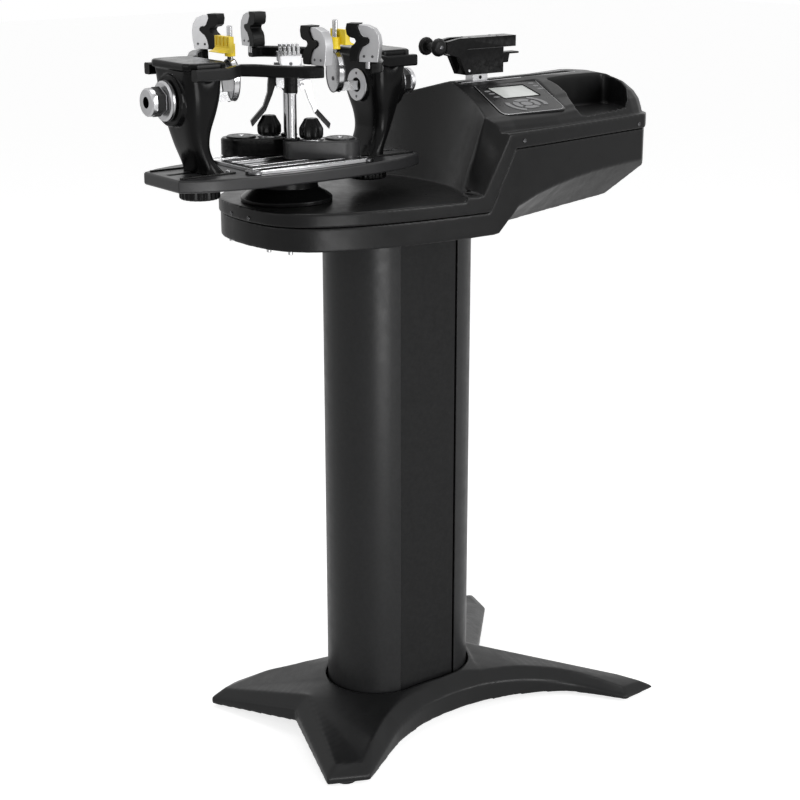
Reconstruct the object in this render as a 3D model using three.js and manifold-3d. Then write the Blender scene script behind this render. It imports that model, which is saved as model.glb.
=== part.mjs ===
// Electronic racket stringing machine on its column stand: the head with its turntable at the front
// (the -X end), the pulling unit at the rear, the control panel towards the person at -Y.
// Millimetres. +Z is up, X runs along the head and the floor is z = 0.
// The working origin is the column's axis on the floor; the last lines centre the finished part.
import * as THREE from "three";
import { mergeVertices } from "three/addons/utils/BufferGeometryUtils.js";
import Module from "manifold-3d";

const wasm = await Module();
wasm.setup();

// Driving dimensions. Heights in `base` and `column` are over the floor, all others over the column's top.
const gap = 0.3; // clear space between pieces that touch in use
const tiny = 1; // how far a cutter stands past the face it opens
const roundSteps = 16; // sides of a small round part
const midSteps = 20;
const fineSteps = 32;
const wideSteps = 64;

const base = {
  frontReach: 262, // column axis to the front leg tips
  rearReach: 362, // column axis to the rear leg tips
  width: 486, // across the rear legs
  topHeight: 68, // where the column enters
  skin: 7,
  chamferRun: 24, // width of the sloping band round the top
  pocketRun: 4, // flat rim round the column
  pocketGap: 3, // dark gap round the column's foot
  waistRoom: 3, // flat strip between that rim and the band where the base is narrowest
  frontNotchRoom: 51, // from the band to the bottom of the front notch
  rearNotchRoom: 20,
  pocketFloor: 45, // the column stands on this level
  footHeight: 5,
  footRadius: 17,
  footStud: 6,
  footStudHeight: 3,
};

const column = {
  flat: 110, // length of the flat side panels, along X
  width: 158,
  bulge: 69, // how far each curved cover stands out past the flats
  wall: 3,
  panelRecess: 1.5,
  seam: 3, // open joint between a cover and a side panel
  height: 815, // floor to the underside of the head
  capThick: 8,
  capRun: 18,
  arcSteps: 16,
};

const head = {
  frontReach: 285, // column axis to the nose of the deck
  rearReach: 417,
  width: 352, // widest, over the column
  rearWidth: 262,
  taperStart: 100,
  rearFloorHeight: 18,
  floorBend: 48, // the floor is level up to here
  rearFloorAt: 350,
  rearKnee: 75,
  seamHeight: 35, // joint of the two shells round the deck
  rearSeamHeight: 124,
  rimHeight: 62,
  rearRimHeight: 148,
  crownHeight: 209,
  crownRound: 46, // length of the crown's rounded rear end
  slopeStart: 25, // where the rim starts to climb
  slopeRun: 47,
  wall: 4,
  lap: 2.5, // the upper shell stands this much proud of the lower one
  deckDrop: 6,
  rimRun: 13,
  noseRound: 12,
  wallRadius: 262, // foot of the hollow wall that the turntable sweeps past
  wallLean: 42, // how much further back that wall stands at the crown's height
  creaseLowIn: 49, // crease between wall and corner face: from the rim line inwards, then along X
  creaseLowBack: 8,
  creaseTopIn: 33,
  creaseTopForward: 18,
  creaseTopRise: 15,
  scoopStart: 55,
  scoopTop: 74,
  scoopDepth: 62,
  scoopSteps: 8,
};

const panel = {
  start: 125,
  length: 127,
  lean: 34, // its near edge lies this much nearer to the turntable than its far edge
  farEdge: 30, // both edges measured from the middle plane
  nearEdge: 139,
  farHeight: 199.5,
  nearHeight: 169,
  seatDepth: 3,
  filmThick: 2.4,
  cornerRun: 14,
  screenLength: 72,
  screenWidth: 43,
  screenThick: 1.8,
  screenFromFar: 11,
  keyThick: 2,
  keyStand: 0.8, // a key's top over the film
  keysFromNear: 32,
  enterRadius: 7.5,
  ringInner: 9.5, // four keys in a ring round the middle one
  ringOuter: 17.5,
  arcInner: 21.5, // two longer keys outside the ring
  arcOuter: 27.5,
  keyGap: 1.5,
  arcSteps: 6,
};

const tray = { start: 242, end: 400, farEdge: 33, nearMargin: 12, floorHeight: 153 };

const slot = { start: 112, end: 352, width: 26 };

const frame = {
  railRadius: 5,
  railSpacing: 34,
  railHeight: 175,
  endThick: 12,
  endOver: 3, // end plates over the rails
  width: 54,
  room: 1, // from the hollow wall's inner face to the front end plate
  end: 366,
  bedThick: 10,
};

const carriage = {
  at: 155, // column axis to its middle, as photographed
  length: 46,
  width: 52,
  height: 22,
  neckWidth: 18,
  neckLength: 30,
};

const grip = {
  bottom: 215,
  top: 271,
  plateThick: 17,
  width: 30,
  bodyStart: 122,
  bodyEnd: 197,
  plateEnd: 222,
  noseStart: 84,
  noseTop: 267,
  noseBottom: 249,
  forkGap: 14,
  rollerRadius: 14,
  rollerWaist: 6,
  rollerWidth: 44,
  rollerAt: 67,
  rollerHeight: 260,
  axleRadius: 3,
  leverPivotIn: 6, // pin from the body's rear face
  leverPin: 3,
  leverEnd: 212,
  leverTip: 234,
  leverTop: 245,
  leverBottom: 229,
  leverTongue: 3,
  leverWidth: 18,
};

const hub = {
  at: -203, // column axis to the turntable's axis
  discRadius: 67,
  discThick: 21,
  edgeThick: 6,
  shoulderRadius: 55,
  neckRadius: 46,
};

const beam = {
  halfLength: 207,
  width: 176,
  bottom: 93,
  thick: 18,
  bevel: 2,
  slotWidth: 11,
  slotStart: 122,
  slotEnd: 196,
};

const glide = {
  halfLength: 92,
  margin: 8, // from the edge of the turntable
  innerEdge: 47,
  trackEdge: 20,
  trackWidth: 6,
  thick: 5,
  bridge: 12,
};

const post = {
  baseInner: 120, // every reach here is from the turntable's axis
  bodyTop: 257,
  top: 266,
  capInner: 124,
  capOuter: 190,
  capHalf: 55,
  round: 14,
  axisHeight: 213,
  bossRadius: 36,
  bossStart: 176,
  bossEnd: 191,
  flangeRadius: 24, // brushed flange round the centre bar
  flangeStart: 128,
  flangeEnd: 148,
  guideAt: 156,
  guideRadius: 6,
  boreGap: 0.4,
  screwDepth: 20,
};

const lockKnob = { radius: 29, thick: 19, at: 146, ribs: 24, ribDepth: 1.2, screwRadius: 4, chamfer: 2 };

const adjuster = {
  flangeRadius: 28,
  flangeAt: 191.5,
  flangeThick: 9,
  flangeChamfer: 2.5,
  sleeveRadius: 13,
  sleeveStart: 182,
  knobRadius: 19.5,
  knobAt: 202,
  gripEnd: 217,
  knobEnd: 225,
  knobChamfer: 2,
  boreRadius: 8,
  boreDepth: 11,
  stemRadius: 9,
  stemStart: 181,
  gripSides: 6,
};

const arm = {
  outerEnd: 186, // from the turntable's axis
  innerEnd: 39,
  atPost: 64, // middle of the bar from the middle plane
  atClamp: 150,
  width: 14,
  top: 263,
  thick: 16,
  heelDrop: 4,
  chamfer: 2,
  guideDrop: 14, // axis of the guide bar under the arm's top
  guideReach: 13, // end of the guide bar from the middle plane
};

const jaw = {
  at: 40, // pivot from the turntable's axis
  middle: 149, // pivot from the middle plane
  spineReach: 18, // pivot to the back of the jaw
  depth: 31, // back of the jaw to the tips of its metal plate
  lift: 0.5, // over the arm
  height: 50,
  plateLength: 14,
  padLength: 20,
  pinRadius: 4,
  pinDepth: 9,
};
// How far each jaw stood turned from square in the photographed machine, degrees.
const jawTurn = { front_far: 25, rear_far: -2, front_near: 8, rear_near: 35 };

const support = {
  barWidth: 13,
  barBack: 160, // from the turntable's axis, as the disc is
  discHeight: 58,
  discWidth: 34,
  discRise: 21, // middle of the disc over the bar's axis
  discAt: 85,
  discThick: 9,
  pinRadius: 4,
  pinTop: 307,
  tubeRadius: 7.5,
  tubeBottom: 267,
  tubeTop: 284,
  wallIn: 4.8, // pin's axis to the near face of the cradle
  wallOut: 13,
  lipOut: 23,
  lipThick: 3,
  wallWidth: 38,
  wallBottom: 273,
  wallTop: 295,
  grooveWidth: 3,
  grooveDepth: 2.5,
  grooveFoot: 9, // where the grooves start, over the wall's lower edge
  grooves: 4,
};

const clamp = {
  blockLength: 112,
  wideHalf: 27,
  narrowHalf: 20,
  blockHeight: 25,
  bevel: 2,
  stemInset: 11, // from the block's narrow end
  discInset: 30, // from its wide end
  discRadius: 22,
  discRise: 1.5,
  knobFromStem: 29,
  knobRadius: 18,
  knobTopRadius: 11,
  knobHeight: 29,
  knobLift: 2,
  spigotRadius: 4,
  spigotDepth: 12,
  yaw: -25, // the near block's turn from the beam, degrees
  nearDisc: [75, -30], // middle of each disc from the turntable's axis
  farDisc: [-30, 72],
  stemRadius: 8,
  stemTop: 209,
  collarRadius: 9.5,
  collarTop: 236,
  headTop: 274,
  headHalfLength: 16,
  headHalfWidth: 5.5,
  headSlit: 1.5,
  teeth: 5,
  toothHeight: 8,
  toothSink: 8, // how far a tooth runs down into the head
  earAt: 16, // lever pivot from the stem's axis
  earHeight: 221,
  earHalf: 2,
  earWidth: 9,
  earOver: 12, // ears over the collar
  pivotRadius: 2.5,
  leverHalf: 5,
  leverRise: 53, // unit of the lever's heights
};

// Shapes given as shares of a size.
// Base outline, one side, between the notches: share of the reach on that side of the column, then share of
// the way from the waist to the widest place.
const legShares = [
  [-1, 0.423], [-0.767, 0.631], [-0.573, 0.408], [-0.382, 0.2], [-0.153, 0.054], [0.069, 0],
  [0.262, 0.031], [0.456, 0.154], [0.655, 0.423], [0.818, 1], [1, 0.962], [0.948, 0.5],
];
const footShares = { front: [-0.847, 0.362], rear: [0.89, 0.708] };
// For each point of that outline, with the notches: the base's lower edge, the upper edge of its wall and the
// edge of its top as shares of the top height, and how much of the sloping band's width it has.
const baseLowShares = [0.37, 0.07, 0.07, 0.13, 0.18, 0.22, 0.24, 0.22, 0.17, 0.11, 0.07, 0.07, 0.07, 0.4];
const baseWallShares = [0.69, 0.25, 0.22, 0.43, 0.6, 0.69, 0.72, 0.69, 0.57, 0.35, 0.18, 0.16, 0.16, 0.72];
const baseTopShares = [0.97, 0.47, 0.4, 0.68, 0.85, 0.93, 0.95, 0.92, 0.82, 0.58, 0.34, 0.3, 0.3, 0.96];
const bandShares = [1, 0.7, 0.7, 0.9, 1, 1, 1, 1, 1, 0.9, 0.6, 0.55, 0.6, 1];
// Nose of the head seen from above: share of the front reach, then share of half the width.
const noseShares = [
  [-1, 0], [-0.993, 0.17], [-0.972, 0.352], [-0.926, 0.511], [-0.853, 0.636], [-0.747, 0.739],
  [-0.596, 0.83], [-0.386, 0.909], [-0.14, 0.966], [0.07, 0.994],
];
// Crown of the pulling unit: share of half the width, then share of the rise over the rim.
const crownShares = [[0, 1], [0.15, 0.9], [0.6, 0.56], [0.83, 0.38], [0.9, 0.28], [0.945, 0.14], [0.965, 0]];
const boxyShares = [[0, 1], [0.3, 0.97], [0.6, 0.83], [0.8, 0.62], [0.9, 0.42], [0.955, 0.18], [0.975, 0]];
// Rounded rear end of the crown: share of its length, then size of the ring there.
const crownEndShares = [[0, 1], [0.4, 0.985], [0.7, 0.94], [0.9, 0.86], [1, 0.75]];
// Tool tray seen from above: share of its length, then share of the way from its far to its near edge.
const trayShares = [
  [0.19, 0], [0.177, 0.3], [0.127, 0.54], [0.025, 0.81], [0, 0.92], [0.03, 0.985], [0.09, 1],
  [0.696, 1], [0.77, 0.95], [0.905, 0.7], [0.985, 0.36], [1, 0.12], [0.975, 0.03], [0.94, 0],
];
// The long keys' turn from the film's length, as a share of a quarter turn, and the keys' stretch along it.
const arcTurnShare = 0.21;
const keyStretchShare = 1.4;
const scoopCurveShare = 2.4; // power of the arch on the head's flank
const slantShare = 1.6; // a slanting wall measured along X, as a share of its thickness
const overShare = 1.3; // how far a slanting cutter runs on past its own edge, as a share of it
// Turntable seen from above: share of the half length, then share of half the width.
const beamShares = [[0, 1], [0.25, 0.985], [0.48, 0.93], [0.72, 0.83], [0.87, 0.72], [1, 0.545]];
// A post's outline: share of its body's height, then inner face, outer face and half width as shares of the
// inner reach of its foot.
const postShares = [
  [0, 1, 1.3, 0.315], [0.03, 1.02, 1.31, 0.31], [0.1, 1.11, 1.35, 0.3], [0.25, 1.18, 1.43, 0.3],
  [0.4, 1.17, 1.48, 0.325], [0.56, 1.12, 1.51, 0.375], [0.72, 1.085, 1.53, 0.415], [0.9, 1.07, 1.555, 0.43],
  [1, 1.06, 1.56, 0.435],
];
// An arm seen from above, from its outer end: share of its length, share of its bow outwards, share of
// the climb from its heel.
const armShares = [
  [0, 0, 0], [0.36, 0, 0], [0.48, 0.05, 1], [0.57, 0.2, 1], [0.66, 0.45, 1], [0.76, 0.72, 1],
  [0.86, 0.92, 1], [0.93, 0.99, 1], [1, 1, 1],
];
// A racket jaw seen end on: share of its depth from the back, share of its height.
const jawPlateShares = [
  [0.1, 0], [0.95, 0], [0.97, 0.12], [0.9, 0.27], [0.77, 0.41], [0.6, 0.465], [0.48, 0.52], [0.47, 0.6],
  [0.55, 0.655], [0.74, 0.66], [0.86, 0.72], [1, 0.9], [0.97, 1], [0.6, 0.985], [0.26, 0.9], [0.06, 0.72],
  [0, 0.52], [0.02, 0.28],
];
const jawPadShares = [
  [0.9, 0.01], [1.33, 0.01], [1.38, 0.1], [1.35, 0.32], [1.26, 0.43], [1.13, 0.49], [1.07, 0.56],
  [1.13, 0.63], [1.36, 0.66], [1.49, 0.73], [1.54, 0.9], [1.49, 1.03], [0.95, 1.03], [0.9, 0.8],
  [0.8, 0.67], [0.5, 0.64], [0.49, 0.54], [0.65, 0.46], [0.85, 0.35],
];
// Profile of a spool flange: share of its radius, share of its width outwards from the fork.
const flangeShares = [[0, 1], [0.45, 1], [0.75, 0.88], [0.95, 0.62], [1, 0.4], [0.94, 0.15], [0.8, 0]];
// Profile of a clamp's lock knob: share of its radius, share of its height.
const knobShares = [[0, 0], [0.8, 0], [0.88, 0.06], [1, 0.2], [1, 0.5], [0.9, 0.62], [0.62, 0.9], [0.55, 1], [0, 1]];
const cornerShare = 0.3; // a cut corner's middle point, as a share of the corner
const cornerNearShare = 0.92;
const cornerFarShare = 0.7;
const toothShare = 0.55; // width of a tooth as a share of its spacing
// String clamp's head and its lever seen from the side: share of the head's half length from the stem's
// axis, share of its height over the collar; the lever in shares of the pivot's reach and of its own rise.
const clampHeadShares = [[-0.5, 0], [0.5, 0], [0.62, 0.25], [1, 0.42], [1, 0.75], [-1, 0.75], [-1, 0.5], [-0.8, 0.3]];
const leverShares = [
  [0.72, -0.06], [0.82, 0.1], [1.3, 0.14], [1.82, 0.13], [1.95, -0.3], [2.38, -0.68], [3.5, -1.08],
  [3.36, -1.2], [2.12, -0.78], [1.52, -0.36], [1.25, -0.12], [0.95, -0.14],
];

// Building helpers.
function solidOf(geometry) {
  const plain = geometry.index ? geometry.toNonIndexed() : geometry.clone();
  plain.deleteAttribute("normal");
  plain.deleteAttribute("uv");
  const merged = mergeVertices(plain, 1e-4);
  const vertProperties = merged.attributes.position.array;
  const triVerts = new Uint32Array(merged.index.array);
  const made = new wasm.Manifold(new wasm.Mesh({ numProp: 3, vertProperties, triVerts }));
  if (made.volume() > 0) return made;
  return new wasm.Manifold(new wasm.Mesh({ numProp: 3, vertProperties, triVerts: triVerts.reverse() }));
}

function geometryOf(solid) {
  const data = solid.getMesh();
  const positions = new Float32Array(data.numVert * 3);
  for (let i = 0; i < data.numVert; i++)
    positions.set(data.vertProperties.subarray(i * data.numProp, i * data.numProp + 3), i * 3);
  const geometry = new THREE.BufferGeometry();
  geometry.setAttribute("position", new THREE.BufferAttribute(positions, 3));
  geometry.setIndex(new THREE.BufferAttribute(new Uint32Array(data.triVerts), 1));
  const flat = geometry.toNonIndexed();
  flat.computeVertexNormals();
  return flat;
}

// A flat outline carried up from z = low to z = high.
function prism(outline, low, high) {
  const shape = new THREE.Shape(outline.map(([x, y]) => new THREE.Vector2(x, y)));
  const geometry = new THREE.ExtrudeGeometry(shape, { depth: high - low, bevelEnabled: false, steps: 1 });
  geometry.translate(0, 0, low);
  return solidOf(geometry);
}

// An outline in X and Z carried across from y = low to y = high.
function sidePrism(outline, low, high) {
  return prism(outline, -high, -low).rotate([90, 0, 0]);
}

// An outline in Y and Z carried along from x = low to x = high.
function endPrism(outline, low, high) {
  return prism(outline, low, high).rotate([90, 0, 90]);
}

function box(x0, x1, y0, y1, z0, z1) {
  const geometry = new THREE.BoxGeometry(x1 - x0, y1 - y0, z1 - z0);
  geometry.translate((x0 + x1) / 2, (y0 + y1) / 2, (z0 + z1) / 2);
  return solidOf(geometry);
}

// A round bar along one axis, between two places on it.
function rod(axis, radius, low, high, centre, steps = roundSteps) {
  const geometry = new THREE.CylinderGeometry(radius, radius, high - low, steps);
  geometry.translate(0, (low + high) / 2, 0);
  if (axis === "x") geometry.rotateZ(-Math.PI / 2);
  if (axis === "z") geometry.rotateX(Math.PI / 2);
  const [a, b] = centre;
  if (axis === "x") geometry.translate(0, a, b);
  if (axis === "y") geometry.translate(a, 0, b);
  if (axis === "z") geometry.translate(a, b, 0);
  return solidOf(geometry);
}

// A profile of [radius, height] pairs turned about the z axis.
function turned(profile, steps = roundSteps) {
  const geometry = new THREE.LatheGeometry(profile.map(([r, h]) => new THREE.Vector2(r, h)), steps);
  geometry.rotateX(Math.PI / 2);
  return solidOf(geometry);
}

// Rings of equally many points joined in order, with a flat lid on each end.
function loft(rings) {
  const count = rings[0].length;
  const positions = [];
  for (let k = 0; k + 1 < rings.length; k++)
    for (let i = 0; i < count; i++) {
      const [a, b] = [rings[k][i], rings[k][(i + 1) % count]];
      const [c, d] = [rings[k + 1][(i + 1) % count], rings[k + 1][i]];
      positions.push(...a, ...b, ...c, ...a, ...c, ...d);
    }
  positions.push(...lid(rings[0], -1), ...lid(rings[rings.length - 1], 1));
  const geometry = new THREE.BufferGeometry();
  geometry.setAttribute("position", new THREE.BufferAttribute(new Float32Array(positions), 3));
  return solidOf(geometry);
}

// The triangles that close a ring, wound the ring's own way round, or the other way with turn = -1.
function lid(ring, turn) {
  const normalOf = (points) => {
    const sum = new THREE.Vector3();
    points.forEach((p, i) => {
      const next = points[(i + 1) % points.length];
      sum.add(new THREE.Vector3(...p).cross(new THREE.Vector3(...next)));
    });
    return sum;
  };
  const ringNormal = normalOf(ring);
  const [x, y, z] = ringNormal.toArray().map(Math.abs);
  const drop = x > y && x > z ? 0 : y > z ? 1 : 2;
  const flat = ring.map((p) => new THREE.Vector2(...p.filter((_, axis) => axis !== drop)));
  return THREE.ShapeUtils.triangulateShape(flat, []).flatMap((corners) => {
    const points = corners.map((i) => ring[i]);
    const same = normalOf(points).dot(ringNormal) * turn > 0;
    return (same ? points : points.reverse()).flat();
  });
}

// An outline moved inwards by the same distance all round; it runs anticlockwise.
function inset(outline, distance) {
  const count = outline.length;
  return outline.map(([x, y], i) => {
    const before = outline[(i + count - 1) % count];
    const after = outline[(i + 1) % count];
    const inwards = (from, to) => {
      const length = Math.hypot(to[0] - from[0], to[1] - from[1]);
      return [-(to[1] - from[1]) / length, (to[0] - from[0]) / length];
    };
    const [ax, ay] = inwards(before, [x, y]);
    const [bx, by] = inwards([x, y], after);
    const scale = distance / (1 + ax * bx + ay * by);
    return [x + (ax + bx) * scale, y + (ay + by) * scale];
  });
}

// Both sides of an outline given for its -Y side, from its front to its rear end.
function mirrored(side) {
  const far = side.map(([x, y]) => [x, -y]).reverse();
  return [...side, ...far.filter(([, y]) => Math.abs(y) > gap)];
}

const group = new THREE.Group();

function add(name, solid, material) {
  const mesh = new THREE.Mesh(geometryOf(solid), material);
  mesh.name = name;
  group.add(mesh);
}

// A solid drawn with the head's underside at z = 0.
function addOnHead(name, solid, material) {
  add(name, solid.translate([0, 0, column.height]), material);
}

function finish(name, color, roughness, metalness) {
  const material = new THREE.MeshStandardMaterial({ color, roughness, metalness });
  material.name = name;
  return material;
}

const castPaint = finish("base_paint", 0x232426, 0.55, 0.2);
const columnPaint = finish("column_paint", 0x2b2c2e, 0.45, 0.4);
const shellPlastic = finish("shell_plastic", 0x1c1c1e, 0.5, 0);
const blackMetal = finish("black_metal", 0x151517, 0.4, 0.5);
const blackPlastic = finish("black_plastic", 0x161617, 0.55, 0);
const rubber = finish("rubber", 0x0e0e0f, 0.85, 0);
const bright = finish("bright_steel", 0xc9ccd0, 0.22, 1);
const satin = finish("satin_aluminium", 0xb8babd, 0.4, 1);
const yellow = finish("yellow_plastic", 0xf2cf1d, 0.45, 0);
const screenGlass = finish("screen_glass", 0xb9c0c4, 0.15, 0);
const keyGrey = finish("key_grey", 0x8d9093, 0.6, 0);
const panelFilm = finish("panel_film", 0x26272a, 0.4, 0);

// Base.
// The waist and the notches keep clear of the column, its gap, the flat rim and the sloping band.
const columnReach = column.flat / 2 + column.bulge;
const bandReach = base.pocketGap + base.pocketRun + base.chamferRun;
const waist = column.width / 2 + bandReach + base.waistRoom;
function basePlace([along, across]) {
  return [
    along * (along < 0 ? base.frontReach : base.rearReach),
    waist + across * (base.width / 2 - waist),
  ];
}

// The whole base outline, drawn in by `distance`; every point carries its three heights.
function baseRings(distance, drop) {
  const legs = legShares.map(basePlace).map(([x, y]) => [x, -y]);
  const frontNotch = [-columnReach - bandReach - base.frontNotchRoom, 0];
  const rearNotch = [columnReach + bandReach + base.rearNotchRoom, 0];
  const outline = mirrored([frontNotch, ...legs, rearNotch]);
  const last = legs.length + 1;
  const shareAt = (shares, i) => shares[i <= last ? i : 2 * last - i];
  const ring = (flat, shares, lower) =>
    flat.map(([x, y], i) => [x, y, shareAt(shares, i) * base.topHeight - lower]);
  const wallLine = inset(outline, distance);
  const topLine = inset(outline, distance + base.chamferRun).map((place, i) =>
    place.map((v, axis) => wallLine[i][axis] + (v - wallLine[i][axis]) * shareAt(bandShares, i)),
  );
  return {
    low: ring(wallLine, baseLowShares, drop > 0 ? base.topHeight : 0),
    wall: ring(wallLine, baseWallShares, drop),
    top: ring(topLine, baseTopShares, drop),
  };
}

// Column outline seen from above, grown by `extra`: flats at ±Y, shallow arcs at both ends.
function columnOutline(extra) {
  const half = column.width / 2;
  const radius = (column.bulge ** 2 + half ** 2) / (2 * column.bulge);
  const middle = column.flat / 2 + column.bulge - radius;
  const sweep = Math.atan2(half, column.flat / 2 - middle);
  const rear = [];
  for (let i = 0; i <= column.arcSteps; i++) {
    const angle = sweep * ((2 * i) / column.arcSteps - 1);
    rear.push([middle + (radius + extra) * Math.cos(angle), (radius + extra) * Math.sin(angle)]);
  }
  return [...rear, ...rear.map(([x, y]) => [-x, -y])];
}

function baseBody(distance, drop) {
  const { low, wall, top } = baseRings(distance, drop);
  const grown = base.pocketGap + base.pocketRun - distance;
  const rim = columnOutline(grown).map(([x, y]) => [x, y, base.topHeight - drop]);
  const positions = [];
  const count = low.length;
  const strip = (lower, upper) => {
    for (let i = 0; i < count; i++) {
      const next = (i + 1) % count;
      positions.push(...lower[i], ...lower[next], ...upper[next], ...lower[i], ...upper[next], ...upper[i]);
    }
  };
  strip(low, wall);
  strip(wall, top);
  const flat = (ring) => ring.map(([x, y]) => new THREE.Vector2(x, y));
  const faces = (points, triangles, down) => {
    for (const [a, b, c] of triangles) {
      const [pa, pb, pc] = [points[a], points[b], points[c]];
      const area = (pb[0] - pa[0]) * (pc[1] - pa[1]) - (pb[1] - pa[1]) * (pc[0] - pa[0]);
      if (area > 0 !== down) positions.push(...pa, ...pb, ...pc);
      else positions.push(...pa, ...pc, ...pb);
    }
  };
  faces(low, THREE.ShapeUtils.triangulateShape(flat(low), []), true);
  faces([...top, ...rim], THREE.ShapeUtils.triangulateShape(flat(top), [flat(rim)]), false);
  faces(rim, THREE.ShapeUtils.triangulateShape(flat(rim), []), false);
  const geometry = new THREE.BufferGeometry();
  geometry.setAttribute("position", new THREE.BufferAttribute(new Float32Array(positions), 3));
  return solidOf(geometry);
}

const footPlaces = [];
for (const [end, place] of Object.entries(footShares)) {
  const [x, y] = basePlace(place);
  footPlaces.push([`foot_${end}_near`, x, -y], [`foot_${end}_far`, x, y]);
}

const baseOuter = baseBody(0, 0);
const baseInner = baseBody(base.skin, base.skin);
const bedHalf = column.width / 2 + base.pocketGap + base.skin;
const bedReach = columnReach + base.pocketGap + base.skin;
const columnBed = box(-bedReach, bedReach, -bedHalf, bedHalf, 0, base.topHeight);
const pocket = prism(columnOutline(base.pocketGap), base.pocketFloor, base.topHeight + tiny);
let baseCasting = baseOuter.subtract(baseInner.subtract(columnBed)).subtract(pocket);
for (const [, x, y] of footPlaces) {
  const boss = rod("z", base.footRadius, base.footHeight, base.topHeight, [x, y]).intersect(baseOuter);
  const stud = rod("z", base.footStud + gap, 0, base.footHeight + base.footStudHeight + gap, [x, y]);
  baseCasting = baseCasting.add(boss).subtract(stud);
}
const underFeet = box(-base.frontReach - tiny, base.rearReach + tiny, -base.width, base.width, -tiny,
  base.footHeight);
add("base_casting", baseCasting.subtract(underFeet), castPaint);

for (const [name, x, y] of footPlaces) {
  const pad = rod("z", base.footRadius, 0, base.footHeight - gap, [x, y]);
  const stud = rod("z", base.footStud, 0, base.footHeight + base.footStudHeight, [x, y]);
  add(name, pad.add(stud), rubber);
}

// Column.
const columnFoot = base.pocketFloor + gap;
const flatHalf = column.flat / 2 - column.seam / 2;
const mastHalf = column.width / 2 - column.panelRecess;
const capHalf = column.width / 2 - column.panelRecess - column.wall - gap;
const capReach = flatHalf + column.capRun;
const tube = box(-flatHalf, flatHalf, -mastHalf, mastHalf, columnFoot, column.height - gap);
const tubeBore = box(-flatHalf + column.wall, flatHalf - column.wall, -mastHalf + column.wall,
  mastHalf - column.wall, columnFoot + column.capThick, column.height - column.capThick - gap);
const cap = box(-capReach, capReach, -capHalf, capHalf, column.height - column.capThick - gap,
  column.height - gap);
const access = rod("z", flatHalf / 2, columnFoot - tiny, columnFoot + column.capThick + tiny, [0, 0]);
add("column_mast", tube.subtract(tubeBore).add(cap).subtract(access), columnPaint);

function columnCover(side) {
  const coverTop = column.height - column.capThick - gap * 2;
  const outer = prism(columnOutline(0), columnFoot, coverTop);
  const inner = prism(columnOutline(-column.wall), columnFoot - tiny, coverTop + tiny);
  const start = column.flat / 2 + column.seam / 2;
  const reach = column.flat + column.bulge;
  const keep = side > 0
    ? box(start, reach, -column.width, column.width, 0, column.height)
    : box(-reach, -start + column.seam, -column.width, column.width, 0, column.height);
  return outer.subtract(inner).intersect(keep);
}
add("column_front_cover", columnCover(-1), columnPaint);
add("column_rear_cover", columnCover(1), columnPaint);

// Head shells.
// Half width of the head at a place along it.
function headHalf(x, distance) {
  const share = Math.max(0, (x - head.taperStart) / (head.rearReach - head.taperStart));
  return (head.width + (head.rearWidth - head.width) * share) / 2 - distance;
}

function headOutline(distance) {
  const nose = noseShares.map(([along, across]) => [along * head.frontReach, (-across * head.width) / 2]);
  const side = [
    ...nose,
    [head.taperStart, -headHalf(head.taperStart, 0)],
    [head.rearReach - head.noseRound * 2, -headHalf(head.rearReach - head.noseRound * 2, 0)],
    [head.rearReach - head.noseRound / 2, -headHalf(head.rearReach, head.noseRound)],
    [head.rearReach, -headHalf(head.rearReach, head.noseRound * 3)],
  ];
  const far = side.slice(1).map(([x, y]) => [x, -y]).reverse();
  return inset([...side, ...far], distance);
}

const slopeEnd = head.slopeStart + head.slopeRun;
const rearEnd = head.rearReach + tiny;
const noseEnd = -head.frontReach - tiny;
const aloft = head.crownHeight * 2; // above all of the head, for cutters

// The line where the shells meet, or the rim line, seen from the side.
function sideLine(low, high, shift) {
  return [
    [noseEnd, low],
    [head.slopeStart + shift, low],
    [slopeEnd + shift, high],
    [rearEnd, high],
  ];
}
const seamLine = sideLine(head.seamHeight, head.rearSeamHeight, head.rimRun);
const rimLine = (drop) => sideLine(head.rimHeight - drop, head.rearRimHeight - drop, drop / 2);
const floorLine = [
  [rearEnd, head.rearKnee],
  [head.rearFloorAt, head.rearFloorHeight],
  [head.floorBend, 0],
  [noseEnd, 0],
];
const raised = (line, lift) => line.map(([x, z]) => [x, z + lift]);

// The crown over the pulling unit: rings across the head, drawn in by `distance`.
function crown(distance) {
  const ringAt = (x, shares, scale) => {
    const half = headHalf(x, distance);
    const rise = head.crownHeight - head.rearRimHeight;
    const side = shares.map(([across, up]) => [
      x,
      -across * half * scale,
      head.rearRimHeight + rise * up * scale - distance,
    ]);
    const low = head.rimHeight - head.deckDrop - head.wall;
    const foot = [x, side[side.length - 1][1], low];
    const half1 = [...side, foot];
    const half2 = half1.slice(1).map(([a, b, c]) => [a, -b, c]).reverse();
    return [...half1, ...half2];
  };
  const end = head.rearReach - distance;
  const endRings = crownEndShares.map(([along, size]) =>
    ringAt(end - head.crownRound * (1 - along), boxyShares, size),
  );
  return loft([
    ringAt(head.slopeStart - head.slopeRun, crownShares, 1),
    ringAt(panel.start + panel.length / 2, crownShares, 1),
    ...endRings,
  ]);
}

// Hollow wall round the turntable; with a distance it stands that much further back.
const deckTop = head.rimHeight - head.deckDrop;
const wallRadiusAt = (z) =>
  head.wallRadius + (head.wallLean * (z - deckTop)) / (head.crownHeight - deckTop);
function sweep(distance, low) {
  const profile = [
    [0, low],
    [wallRadiusAt(low) + distance, low],
    [wallRadiusAt(aloft) + distance, aloft],
    [0, aloft],
  ];
  return turned(profile, wideSteps).translate([hub.at, 0, 0]);
}

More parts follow.
